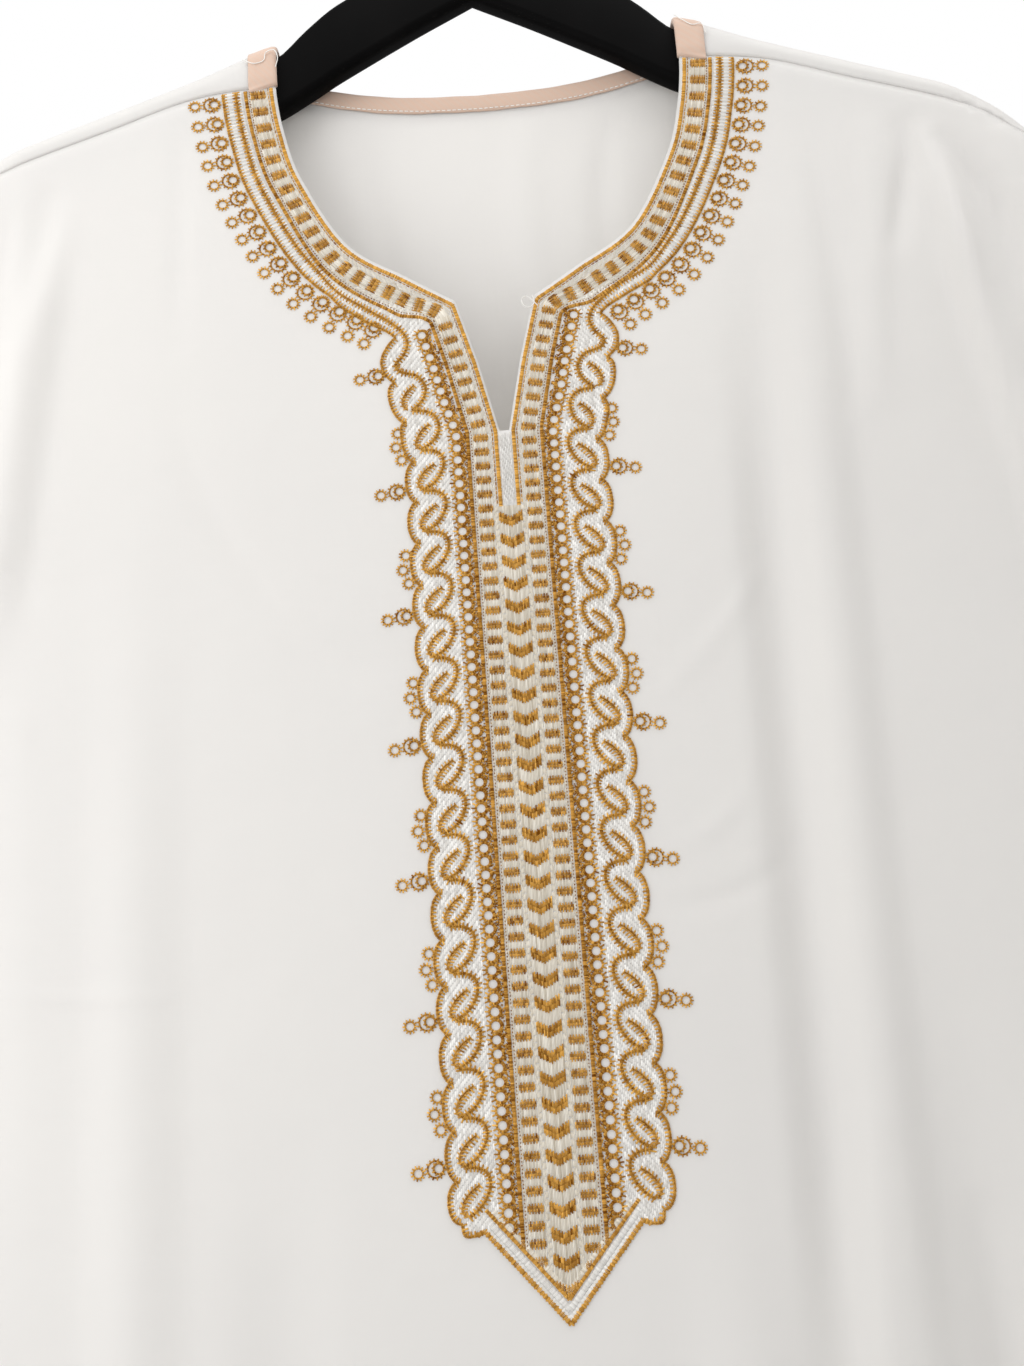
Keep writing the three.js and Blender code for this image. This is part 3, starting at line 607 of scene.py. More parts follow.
def mesh_outline(outline, inner):
    """Triangles over an area, through inner points. All in 2D."""
    count = len(outline)
    points = [Vector(p) for p in outline] + [Vector(p) for p in inner]
    edges = [(i, (i + 1) % count) for i in range(count)]
    flat, _, faces, *_ = delaunay_2d_cdt(points, edges, [], 2, 1e-5)
    flat = np.array([(p.x, p.y) for p in flat])
    faces = np.array(faces)
    return flat, faces[inside_of(outline, flat[faces].mean(axis=1))]


def inside_of(ring, points):
    """Which points lie inside a closed line."""
    ring = np.asarray(ring, float)
    x, y = points[:, 0], points[:, 1]
    hit = np.zeros(len(points), bool)
    for a, b in zip(ring, np.roll(ring, -1, axis=0)):
        crosses = (a[1] > y) != (b[1] > y)
        if crosses.any():
            at = a[0] + (y - a[1]) / (b[1] - a[1] + 1e-12) * (b[0] - a[0])
            hit ^= crosses & (x < at)
    return hit


def near_line(line, points, reach):
    """Which points lie within reach of a line."""
    close = np.zeros(len(points), bool)
    line = np.asarray(line)
    for a, b in zip(line, line[1:]):
        d = b - a
        t = np.clip(((points - a) @ d) / (d @ d + 1e-12), 0, 1)
        close |= np.hypot(*(points - a - t[:, None] * d).T) < reach
    return close


def neck_line():
    """The front neck edge from the left shoulder to the right, down and up the slit."""
    right = np.vstack([smooth(FRONT_NECK, 2.0), evenly([FRONT_NECK[-1]] + SLIT, 2.0)[1:]])
    return np.vstack([right * (-1, 1), right[::-1]])


def shares_across(grid):
    """Places across the body, from -1 to 1, closer together where the sides turn round."""
    flat = np.arange(-0.86, 0.8601, grid / ARMHOLE_TOP_X)
    curve = np.array([0.885, 0.91, 0.93, 0.95, 0.965, 0.98, 0.991])
    return np.concatenate([-curve[::-1], flat, curve])


def cloth_panel(name, outline, inner, surface, side):
    """A panel of cloth over an outline, laid on its surface, as thick as the cloth."""
    flat, faces = mesh_outline(outline, inner)
    piece = add_piece(name, surface(flat[:, 0], flat[:, 1]), faces, satin_polyester())
    face_outwards(piece, side)
    thicken(piece)
    return piece


def colour_setting(name, description, default):
    """A colour of the panel from its hex value."""
    return FloatVectorProperty(name=name, description=description, subtype="COLOR", size=3,
                               default=from_hex(default)[:3], min=0, max=1)


# ---- The cloth pieces ----

class ThobeCloth(bpy.types.PropertyGroup):
    """Colours and finish of the robe's cloth."""
    cloth_colour: colour_setting("Cloth", "Colour of the white cloth", "#EFEDEA")
    shade_colour: colour_setting(
        "Cloth, cooler places", "Colour that the cloth drifts to", "#E9E7E5")
    tape_colour: colour_setting("Neck tape", "Colour of the binding tape", "#CDB09D")
    thread_spacing: FloatProperty(
        name="Weave spacing (mm)", description="Distance between drawn threads of the weave",
        default=0.9, min=0.2, max=3)
    cloth_roughness: FloatProperty(
        name="Roughness", description="Roughness of the cloth's face", subtype="FACTOR",
        default=0.52, min=0, max=1)
    see_through: FloatProperty(
        name="Light through the cloth", description="Share of light that goes through the cloth",
        subtype="FACTOR", default=0.3, min=0, max=0.9)
    grid: FloatProperty(
        name="Grid (mm)", description="Spacing of the mesh where the cloth is seen close",
        default=3.2, min=2, max=10)


class THOBE_OT_front(bpy.types.Operator):
    """Makes the front panel with its round neck and slit"""
    bl_idname = "thobe.front"
    bl_label = "Front panel"

    def execute(self, context):
        grid = context.scene.thobe_cloth.grid
        shares = shares_across(grid)
        lower = np.concatenate([np.arange(UNDERARM_DROP - grid, COARSE_FROM, -grid),
                                np.arange(COARSE_FROM, HEM_DROP + 4, -COARSE_GRID)])
        # Rows across: slanting with the shoulders down to the underarm, and level below it.
        inner = []
        for part in np.arange(0, 1.0001, grid / 240)[1:-1]:
            x = shares * ARMHOLE_TOP_X
            for _ in range(3):
                drop = front_seam(x) + (UNDERARM_DROP - seam_at(x)) * part
                x = shares * half_width(drop)
            inner.append(places(x, drop))
        for level in lower:
            inner.append(places(shares * half_width(level), level))
        inner = np.vstack(inner)
        neck = neck_line()
        inner = inner[~near_line(neck, inner, grid * 0.55)]

        tops = np.arange(-ARMHOLE_TOP_X, ARMHOLE_TOP_X + 0.1, grid)
        tops = tops[np.abs(tops) > NECK_HALF + 0.5]
        left, right = tops[tops < 0], tops[tops > 0]
        top = front_seam(NECK_HALF)
        sides = np.concatenate([np.arange(-97, UNDERARM_DROP, -5), lower])
        outline = np.vstack([
            places(left, front_seam(left)), [(-NECK_HALF, top)], neck[neck[:, 1] < top - 0.5],
            [(NECK_HALF, top)], places(right, front_seam(right)),
            places(half_width(sides), sides),
            places(shares[::-1] * half_width(HEM_DROP), HEM_DROP),
            places(-half_width(sides), sides)[::-1]])
        piece = cloth_panel("front_cloth", outline, inner, front_point, -1)
        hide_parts("front_panel")
        return {"FINISHED"}


def front_seam(x):
    """The front panel's upper edge, just below the shoulder seam."""
    return seam_at(x) - GAP / 2


def face_outwards(piece, side):
    """Turns the faces so that they look out of the cloth."""
    mesh = piece.data
    total = sum(p.normal.y * p.area for p in mesh.polygons)
    if total * side < 0:
        mesh.flip_normals()


class THOBE_OT_back(bpy.types.Operator):
    """Makes the back panel, which comes over the shoulders to the front seam"""
    bl_idname = "thobe.back"
    bl_label = "Back panel"

    def execute(self, context):
        grid = context.scene.thobe_cloth.grid * 1.35
        shares = shares_across(grid)
        # Rows across: from the front seam up to the ridge, and from there down the back.
        x = shares * ARMHOLE_TOP_X
        inner = [places(x, -part * back_start(x))
                 for part in np.concatenate([np.arange(-0.92, 0, 0.115), [0.0]])]
        for fallen in np.concatenate([np.arange(2, 26, 2.4), np.arange(28, 330, grid),
                                      np.arange(334, 1352, COARSE_GRID)]):
            x = shares * ARMHOLE_TOP_X
            for _ in range(3):
                x = shares * half_width(fallen_drop(x, fallen))
            inner.append(places(x, fallen))
        inner = np.vstack(inner)
        neck = back_neck_line()
        inner = inner[~near_line(neck, inner, grid * 0.45)]
        inner = inner[inner[:, 1] < along_back(inner[:, 0], HEM_DROP) - 5]

        tops = np.arange(-ARMHOLE_TOP_X, ARMHOLE_TOP_X + 0.1, grid)
        left = tops[tops < -NECK_HALF - 1]
        right = tops[tops > NECK_HALF + 1]
        edge_v = np.concatenate([np.arange(-30, 330, 5), np.arange(330, 1400, COARSE_GRID)])
        edge_x = np.full(len(edge_v), ARMHOLE_TOP_X)
        for _ in range(4):
            edge_drop = fallen_drop(edge_x, edge_v)
            edge_x = half_width(edge_drop)
        keep = (edge_v > back_start(ARMHOLE_TOP_X) + 2) & (edge_drop > HEM_DROP + 4)
        edge = places(edge_x, edge_v)[keep]
        bottom = shares[::-1] * half_width(HEM_DROP)
        outline = np.vstack([
            places(left, back_start(left)), neck, places(right, back_start(right)), edge,
            places(bottom, along_back(bottom, HEM_DROP)), (edge * (-1, 1))[::-1]])
        piece = cloth_panel("back_cloth", outline, inner, over_shoulder, 1)
        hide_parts("back_panel")
        return {"FINISHED"}


def back_start(x):
    """The back piece's front edge at the shoulder seam, along the cloth from the ridge."""
    return along_back(x, seam_at(x) + GAP / 2, -1)


def back_neck_line(step=2.0):
    """The back piece's neck edge, from the left front seam over both ridges to the right."""
    curve = smooth(BACK_NECK, step)
    curve = curve[curve[:, 1] < ridge_at(NECK_HALF) - 0.5]
    behind = places(curve[:, 0], along_back(curve[:, 0], curve[:, 1]))
    start = (NECK_HALF, float(back_start(NECK_HALF)))
    shoulder = evenly([start, (NECK_HALF, 0), behind[0]], step)[:-1]
    right = np.vstack([shoulder, behind])
    return np.vstack([right * (-1, 1), right[-2::-1]])


class THOBE_OT_sleeves(bpy.types.Operator):
    """Makes both long sleeves with their soft folds"""
    bl_idname = "thobe.sleeves"
    bl_label = "Sleeves"

    def execute(self, context):
        for side, name in ((-1, "left"), (1, "right")):
            piece = loft(f"sleeve_{name}_cloth", sleeve_rings(side), satin_polyester(),
                         caps=False)
            turn_outwards(piece)
            thicken(piece)
            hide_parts(f"sleeve_{name}")
        return {"FINISHED"}


def sleeve_rings(side):
    """Rings of places down a sleeve, from the armhole to the cuff."""
    around = 72
    angle = np.arange(around) * 2 * math.pi / around
    cos, sin = np.cos(angle), np.sin(angle)
    rows = [{"row": 0, "outX": ARMHOLE_TOP_X + GAP, "outDrop": RIDGE_END,
             "inX": ARMHOLE_LOW_X + GAP, "inDrop": UNDERARM_DROP, "depth": ARMHOLE_DEPTH}]
    rows += [dict(row, row=k + 1) for k, row in enumerate(SLEEVE)]
    rings = []
    for at in np.linspace(0, len(SLEEVE), 97):
        power = ARMHOLE_POWER - 0.2 * min(at, 1)
        share = 0.5 + 0.5 * np.sign(cos) * np.abs(cos) ** (2 / power)
        row = {key: float(read(rows, "row", at, key)) for key in rows[0]}
        x = row["inX"] + (row["outX"] - row["inX"]) * share
        drop = row["inDrop"] + (row["outDrop"] - row["inDrop"]) * share
        settle = 1 - ease(1, len(SLEEVE), at)
        fold = np.zeros(around)
        for crease in SLEEVE_FOLDS:
            t = np.clip((at - crease["from"]) / (crease["to"] - crease["from"]), 0, 1)
            place = crease["start"] + (crease["end"] - crease["start"]) * t
            off = np.abs((angle - np.radians(place) + math.pi) % (2 * math.pi) - math.pi)
            bump = np.clip(1 - (off / math.radians(crease["half"])) ** 2, 0, 1) ** 2
            fold += crease["rise"] * bump * math.sin(math.pi * t) ** 0.6
        y = (armhole_centre(drop) * settle
             - (row["depth"] + fold) * np.sign(sin) * np.abs(sin) ** (2 / power))
        rings.append(np.column_stack([side * x, y, NECK_POINT_HEIGHT + drop]))
    return rings


def loft(name, rings, material, caps=True):
    """A skin over closed rings of places, with or without a cap at each end."""
    grid = np.array(rings)
    count, around, _ = grid.shape
    index = np.arange(count * around).reshape(count, around)
    index = np.hstack([index, index[:, :1]])
    faces = np.stack([index[:-1, :-1], index[1:, :-1], index[1:, 1:], index[:-1, 1:]], axis=-1)
    faces = faces.reshape(-1, 4)
    points = grid.reshape(-1, 3)
    if caps:
        triangles = []
        for row, flip in ((0, 1), (count - 1, -1)):
            middle = len(points)
            points = np.vstack([points, grid[row].mean(axis=0)])
            for a, b in zip(index[row][:-1], index[row][1:]):
                triangles.append([middle, a, b][::flip])
        faces = np.vstack([faces[:, [0, 1, 2]], faces[:, [0, 2, 3]], triangles])
    return add_piece(name, points, faces, material)


def turn_outwards(piece):
    """Makes the faces of a tube-like piece look away from its middle."""
    mesh = piece.data
    middle = sum((v.co for v in mesh.vertices), Vector()) / len(mesh.vertices)
    total = 0
    for face in mesh.polygons:
        away = face.center - middle
        away.z = 0
        total += face.normal.dot(away) * face.area
    if total < 0:
        mesh.flip_normals()


# ---- The binding tape and the hanger ----

# The tape's section: how far in from the neck edge, and how far out of the cloth's outer face.
TAPE_SECTION = [(12.7, 0.35), (12.7, 0.8), (12.3, 1.15), (9.0, 1.2), (5.0, 1.25), (1.0, 1.2),
                (-0.4, 0.9), (-1.1, 0.2), (-1.2, -0.75), (-1.1, -1.7), (-0.4, -2.4), (1.0, -2.7),
                (4.0, -2.75), (7.4, -2.7), (8.0, -2.4), (8.0, -1.9), (4.0, -1.8), (0.4, -1.8),
                (-0.3, -1.3), (-0.35, -0.75), (-0.3, -0.1), (0.4, 0.32), (6.0, 0.32)]


def tape_line():
    """The back neck edge with the ways into the cloth along it."""
    line = evenly(back_neck_line(1.2), 1.6)
    return line, sideways(line)


class THOBE_OT_binding(bpy.types.Operator):
    """Makes the bias tape around the back neck"""
    bl_idname = "thobe.binding"
    bl_label = "Neck binding"

    def execute(self, context):
        line, inwards = tape_line()
        along = lengths_along(line)
        rings = []
        for deep, out in TAPE_SECTION:
            wave = 0.12 * np.sin(along / 7.3) + 0.1 * np.sin(along / 3.1 + deep)
            wander = wave if deep > 7 else 0 * wave
            puff = wave if abs(out) > 1 else 0 * wave
            at = line + inwards * (deep + wander)[:, None]
            place, _, _, normal = shoulder_frame(at[:, 0], at[:, 1])
            rings.append(place + normal * (out + puff)[:, None])
        rings = np.swapaxes(np.array(rings), 0, 1)
        piece = loft("neck_tape", rings, cotton_tape())
        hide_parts("neck_binding")
        return {"FINISHED"}


class THOBE_OT_hanger(bpy.types.Operator):
    """Makes the flat hanger body and gives its wire hook a finish"""
    bl_idname = "thobe.hanger"
    bl_label = "Hanger"

    def execute(self, context):
        angle = np.arange(40) * 2 * math.pi / 40
        ends = ARM_END_X - 12 * (1 - np.sin(np.linspace(0, math.pi / 2, 9)))
        half = np.concatenate([np.arange(0, ARM_END_X - 12, 4.0), ends])
        rings = []
        for x in np.concatenate([-half[:0:-1], half]):
            out = abs(x)
            # The arm narrows over its last 14 mm and rounds off over its last 5.
            tip = 1 - 0.45 * float(ease(ARM_END_X - 14, ARM_END_X, out))
            end = math.sqrt(max(1 - (max(out - ARM_END_X + 5, 0) / 5) ** 2, 0.02))
            tall = float(read(ARM, "out", out, "tall"))
            top = float(read(ARM, "out", out, "top"))
            deep = tip * end * ARM_THICK / 2
            high = tip * end * tall / 2
            corner = deep * 0.75
            across = np.sign(np.sin(angle)) * (deep - corner) + corner * np.sin(angle)
            up = np.sign(np.cos(angle)) * (high - corner) + corner * np.cos(angle)
            rings.append(np.column_stack([np.full(len(angle), x), float(arm_forward(x)) + across,
                                          NECK_POINT_HEIGHT + top - tall / 2 + up]))
        body = loft("hanger", rings, moulded_black())
        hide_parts("hanger_body")
        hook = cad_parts["hanger_hook"]
        hook.data.materials.clear()
        hook.data.materials.append(drawn_steel())
        return {"FINISHED"}


# ---- Embroidery: the lines that it follows ----

# The chart, right half: how far out from the slit's line (see spread) and the drop. One scroll
# repeats down the placket's side: the gold rope and the leaf inside its curl, both from a
# scallop's upper cusp, towards the centre and down.
ROPE = [(2.3, -5.6), (7.3, -5.2), (11.4, -3), (12.6, 1.5), (10.7, 6.9), (7.3, 11.1)]
LEAF = [(8.2, 1.6), (3.8, 4.9), (0.9, 9), (0.5, 12.2), (2.3, 14.2)]
ROPE_FROM_NECK = [(55.5, -135.9), (43.6, -146.8), (36.6, -152.9), (32.1, -158.7), (31.4, -164.7),
                  (35.2, -170.8), (40.2, -175.2), (39.6, -178.9), (36.5, -180.2), (32.1, -182),
                  (29.9, -187), (31.6, -192.3), (35.6, -196.6)]
EDGE_FROM_NECK = [(56.4, -143.3), (47.1, -152), (38.3, -158.4), (35.9, -161.6)]
FIRST_SCALLOP = [(35.9, -161.6), (40.9, -165.9), (45.9, -172.6), (46.6, -179.6), (42.9, -184.9)]
# Lines beside the neck: mm out from its edge, and for the bands that go on down the placket, mm
# across from the slit's line as well.
EDGE_BAND = (2.65, 4.35)
LADDER_BAND = (9.0, 11.2)
THICK_BAND = (15.2, 17.4)
WHITE_OUT = (17.8, 22.9)
ROPE_OUT = 19.7
SCALLOP_OUT = 25.9
RINGS_OUT = 30.6
LOW_NECK_WIDER = 4.4      # how much wider the ladder's band is low on the neck
# Pitches in mm; a pair is the pitch by the neck's corner and the one by the shoulder.
NECK_RING_PITCH = (9.1, 11.1)
RING_PITCH = 5.8
LADDER_PITCH = 6.93
NECK_LADDER_PITCH = (7.7, 9.3)
CHEVRON_PITCH = 10.35
FIRST_CHEVRON = -252.0
TONGUE_END_DROP = -249    # below the slit, where the chevrons start
LAST_SCALLOP_END = -558.5
POINT_START = (35.6, -563.4)
# How far inside the pointed end each kind of stitch stops.
GOLD_INSET = 6.6
RING_INSET = 6.8
CREAM_INSET = 8.6
# The two sides of the placket, which differ slightly: 1 is the viewer's right.
SIDES = {
    1: {"cusp": -179.7, "pitch": 20.02, "lift": 5.2, "ring": -156.3, "ladder": -153.0},
    -1: {"cusp": -184.9, "pitch": 19.84, "lift": 0.0, "ring": -161.2, "ladder": -157.4},
}


class Line:
    """A drawn line that gives places along it and beside it."""

    def __init__(self, points):
        self.points = evenly(points, 0.4)
        self.normals = sideways(self.points)
        self.along = lengths_along(self.points)
        self.length = self.along[-1]

    def at(self, t, off=0.0):
        t = np.asarray(t, float)
        place = [np.interp(t, self.along, self.points[:, k]) for k in (0, 1)]
        way = [np.interp(t, self.along, self.normals[:, k]) for k in (0, 1)]
        return np.column_stack(place) + np.column_stack(way) * np.broadcast_to(off, t.shape)[:, None]

    def every(self, pitch):
        return np.arange(pitch / 2, self.length, pitch)

    def across(self, t, off):
        """Places at one length along the line and at several beside it."""
        return self.at(np.full(len(off), t), off)


def spread(drop):
    """How far the slit pushes the placket's lines outwards at a drop."""
    return np.interp(drop, [SLIT_END_DROP, -177, SLIT_TOP_DROP, -118], [0, 7.6, 16.3, 23.4])


def opened(points):
    """Chart places moved outwards with the slit, as (x, drop)."""
    points = np.array(points, float)
    points[:, 0] += spread(points[:, 1])
    return points


def point_line(x, inset=0.0):
    """The drop of the placket's pointed end at a place across it, or of a line inside it."""
    slope = (POINT_CORNER_DROP - POINT_DROP) / POINT_CORNER_HALF
    return POINT_DROP + inset * math.hypot(1, slope) + slope * np.abs(x)


def beside_neck(out):
    """A line out mm from the neck edge; low on the neck the ladder's band grows wider."""
    edge = smooth(FRONT_NECK, 0.5)
    lines = [EDGE_BAND[0], LADDER_BAND[0], THICK_BAND[0], WHITE_OUT[0], ROPE_OUT]
    share = np.interp(out, lines, [0, 0.5, 1, 0.75, 0])
    wider = LOW_NECK_WIDER * low_on_neck(edge[:, 0]) * share
    return edge + sideways(edge) * (out + wider)[:, None]


def low_on_neck(x):
    """1 on the low part of the neck's side, 0 near the shoulder and the corner."""
    return ease(88, 46, x) * ease(25, 36, x)


def band_line(out, across, end):
    """A line out mm from the neck edge that turns into the placket's line at across mm."""
    line = beside_neck(out)
    line = line[line[:, 1] < seam_at(line[:, 0]) - 1.0]
    turned = line[:, 0] < spread(line[:, 1]) + across
    if turned.any():
        line = line[:np.argmax(turned)]
    down = np.arange(line[-1, 1] - 0.4, end, -0.4)
    return Line(np.vstack([line, places(spread(down) + across, down)]))


def neck_part(out, low_x):
    """A line out mm from the neck edge, down to where it passes low_x."""
    line = beside_neck(out)
    return line[(line[:, 1] < seam_at(line[:, 0]) - 1.0) & (line[:, 0] > low_x)]


def lifted(points, lift):
    """The other side of the neck lies a little higher; its lines join the band smoothly."""
    points = np.array(points, float)
    points[:, 1] += lift * ease(64, 44, points[:, 0])
    return points


def cusps(side):
    return side["cusp"] - side["pitch"] * np.arange(SCALLOPS)


def scallop_edge(side):
    """The placket's outer line from the neck, over all scallops, to the point."""
    chart = [lifted(smooth(EDGE_FROM_NECK, 0.5), side["lift"]),
             lifted(smooth(FIRST_SCALLOP, 0.5), side["lift"])]
    start = (42.9, side["cusp"])
    tops = list(cusps(side)) + [LAST_SCALLOP_END]
    for k, (top, low) in enumerate(zip(tops, tops[1:])):
        end = (SCALLOP_CUSP_HALF if k else 43.0, low)
        t = np.linspace(0, math.pi, 40)
        share = 0.5 - 0.5 * np.cos(t)
        bulge = (SCALLOP_BULGE_HALF - SCALLOP_CUSP_HALF) * np.sin(t) ** 0.9
        chart.append(places(start[0] + (end[0] - start[0]) * share + bulge,
                            top + (low - top) * share))
        start = end
    chart.append(smooth([(start[0], LAST_SCALLOP_END), (40.4, -563.2), POINT_START], 0.5))
    return np.vstack([neck_part(SCALLOP_OUT, 77), opened(np.vstack(chart))])


def rope_line(side):
    """The gold rope from the neck band through all curls."""
    tops = cusps(side)
    chart = [lifted(ROPE_FROM_NECK, side["lift"])]
    for top in tops[1:]:
        chart.append(np.array([(SCALLOP_CUSP_HALF - a, top - b) for a, b in ROPE]))
    chart.append([(SCALLOP_CUSP_HALF - 3.1, tops[-1] - 14.2)])
    neck = neck_part(ROPE_OUT, 84)
    curls = smooth(np.vstack([neck[-1:], opened(np.vstack(chart))]), 0.4)
    return Line(np.vstack([neck[:-2], curls]))


# ---- Embroidery: the stitches ----

RNG = np.random.default_rng(7)
CREAM = {"width": 0.5, "height": 0.5, "tone": 0.55, "wander": 0.25}


def stitches(start, end, width=0.5, height=0.6, tone=0.5, wander=0.16):
    """Rows of stitches from places to places, each with its own tone."""
    start, end = np.atleast_2d(start), np.atleast_2d(end)
    count = len(start)
    tones = np.clip(tone + RNG.normal(0, wander, count), 0, 1)
    shape = [np.broadcast_to(v, count) for v in (width, height)]
    return np.column_stack([start, end, shape[0], shape[1], tones])


def third(count):
    """1 for every third stitch of a row, 0 for the others."""
    return (np.arange(count) % 3 == 0).astype(float)


def satin(line, inner, outer, pitch=0.55, teeth=(0.0, 0.0), slant=0.0, height=0.7, tone=0.5,
          width=0.56):
    """Stitches across a line from inner to outer; every third one is longer by teeth."""
    t = line.every(pitch)
    long = third(len(t))
    rough = RNG.uniform(-0.12, 0.12, (2, len(t)))
    low = inner - long * teeth[0] + rough[0]
    high = outer + long * teeth[1] + rough[1]
    return stitches(line.at(t - slant / 2, low), line.at(t + slant / 2, high),
                    width * (1 + 0.4 * long), height, tone + 0.12 * long)


def runs(line, offs, length=2.6, gap=0.25, width=0.42, height=0.35, tone=0.5):
    """Rows of running stitches beside a line, staggered like bricks."""
    rows = []
    for k, off in enumerate(offs):
        t = np.arange((k % 3) * length / 3, line.length - length, length + gap)
        rows.append(stitches(line.at(t, off), line.at(t + length, off), width, height, tone))
    return np.vstack(rows)


def all_round(count, turn=0.0):
    """Unit vectors all round, the first one turned by an angle."""
    angle = np.arange(count) * 2 * math.pi / count + turn
    return places(np.cos(angle), np.sin(angle))


def ring(centre, hole, rim, teeth, count=36, height=0.7, tone=0.5):
    """A ring of stitches laid outwards from a hole, with every third one longer."""
    way = all_round(count, RNG.uniform(0, 1))
    long = third(count)
    far = (rim + (teeth - rim) * long)[:, None]
    return stitches(centre + way * hole, centre + way * far, 0.5 + 0.16 * long, height,
                    tone - 0.1 + 0.2 * long)


def double_ring(centre, out, size=1.0):
    """A ring with a larger one laid off its centre, and a small ring beyond them."""
    out = np.asarray(out, float) / np.linalg.norm(out)
    return np.vstack([
        ring(centre + out * 1.3 * size, 2.9 * size, 3.75 * size, 4.5 * size, 42, 0.55, 0.35),
        ring(centre, 1.65 * size, 2.6 * size, 3.2 * size, 30, 0.8, 0.4),
        ring(centre + out * 8.7 * size, 1.6 * size, 2.4 * size, 3.3 * size, 36, 0.65)])


def growing(start, end, pitches):
    """Places from start back to end, their pitch growing from the first to the second."""
    found = [start]
    while found[-1] > end + pitches[1] / 2:
        share = 1 - found[-1] / start
        found.append(found[-1] - pitches[0] - (pitches[1] - pitches[0]) * share)
    stretch = (start - end) / (start - found[-1])
    return [start - (start - place) * stretch for place in found]


def ladder(line, centres, tall, low, high):
    """Gold blocks on a line, each of two short rows, with cream stitches between them."""
    gold, cream = [], []
    off = np.arange(low + 0.1, high + 0.1, 0.62)
    long = (np.arange(len(off)) % 2) * 0.95
    for c, following in zip(centres, list(centres[1:]) + [centres[-1] + 6]):
        middle = c + RNG.uniform(-0.15, 0.15, len(off))
        for sign in (-1, 1):
            reach = tall / 2 - 0.3 + long + RNG.uniform(-0.14, 0.14, len(off))
            gold.append(stitches(line.at(middle - sign * 0.1, off), line.at(c + sign * reach, off),
                                 0.56, 0.72, 0.44, 0.2))
        cream.append(stitches(line.across(c + tall / 2 - 0.2, off),
                              line.across(following - tall / 2 + 0.2, off), **CREAM))
    return gold, cream


def mirrored(rows, sign):
    """Stitches of the charted right side, or of the left one where sign is -1."""
    rows = rows.copy()
    rows[:, [0, 2]] *= sign
    return rows


def within_point(rows, inset):
    """Only the stitches whose middle lies above a line inside the placket's pointed end."""
    x = (rows[:, 0] + rows[:, 2]) / 2
    drop = (rows[:, 1] + rows[:, 3]) / 2
    return rows[drop > point_line(x, inset)]


def placket_bands(side):
    """Edge lines, ladder, cream margins and the gold line beside the rings."""
    end = POINT_DROP + 8
    edge = band_line(*EDGE_BAND, TONGUE_END_DROP)
    gold = [satin(edge, -1.2, 0.75, height=0.6, tone=0.55),
            runs(edge, [1.35], 1.9, 0.3, 0.5, 0.5, 0.3)]
    inner = band_line(*LADDER_BAND, end)
    drops = inner.points[:, 1]
    corner = inner.along[np.argmin(np.abs(inner.points[:, 0] - 28.6) + (drops < -152) * 99)]
    on_neck = growing(corner, 3.4, NECK_LADDER_PITCH)[::-1]
    blocks, between = ladder(inner, np.array(on_neck), 4.3, -3.5, 3.5)
    gold += blocks
    cream = between[:-1]
    off = np.arange(-3.4, 3.5, 0.62)
    cream.append(stitches(inner.across(0.2, off), inner.across(on_neck[0] - 1.9, off), **CREAM))
    levels = list(np.arange(side["ladder"], SLIT_END_DROP, -7.25))
    levels += list(np.arange(levels[-1] - LADDER_PITCH, end, -LADDER_PITCH))
    centres = np.interp(-np.array(levels), -drops, inner.along)
    blocks, between = ladder(inner, centres, 3.2, -3.3, 3.3)
    gold += blocks
    cream += between
    # Round the corner, where no block lies, two rows of cream meet half way.
    off = np.arange(-3.3, 3.4, 0.6)
    turn = [corner + 1.9, centres[0] - 1.4]
    half = sum(turn) / 2
    for low, high in ((turn[0], half + 0.4), (half - 0.4, turn[1])):
        cream.append(stitches(inner.across(low, off), inner.across(high, off), 0.58, 0.45, 0.55, 0.2))
    cream.append(runs(inner, [-5.1, -4.5, -3.9, 3.9, 4.5], tone=0.45))
    low = inner.points[(low_on_neck(inner.points[:, 0] - 5) > 0.3) & (drops > -150)]
    cream.append(runs(Line(low), [-6.3, -5.7, 5.1, 5.7, 6.3], tone=0.45))
    thick = band_line(*THICK_BAND, end)
    t = thick.every(0.52)
    rough = RNG.uniform(-0.12, 0.12, (2, len(t)))
    gold.append(stitches(thick.at(t, -1.2 + rough[0]), thick.at(t, 0.7 + rough[1]), 0.54, 0.75,
                         0.4, 0.25))
    # Dots at tone 0, wholly the painted shade colour, beside the band.
    gold.append(runs(thick, [-1.9], 0.6, 0.9, 0.6, 0.55, 0.0))
    cream.append(runs(thick, [-2.6], 2.2, 0.3, 0.45, 0.4, 0.3))
    return gold, cream


def neck_bands():
    """The outer bands of the neck, down to the placket's scrolls."""
    fine = {"pitch": 0.66, "height": 0.5, "tone": 0.6, "width": 0.5}
    white = [satin(Line(neck_part(WHITE_OUT[0], 60)), -1.3, 0.9, teeth=(0.0, 0.7), **fine),
             satin(Line(neck_part(WHITE_OUT[1], 66)), -2.3, 2.2, teeth=(0.6, 0.4), slant=0.4,
                   **fine)]
    gold = []
    rings = Line(neck_part(RINGS_OUT, 57))
    for t in growing(rings.length - 0.3, 5.0, NECK_RING_PITCH):
        place = rings.at([t])[0]
        gold.append(double_ring(place, rings.at([t], 1.0)[0] - place, 1.08))
    return gold, white


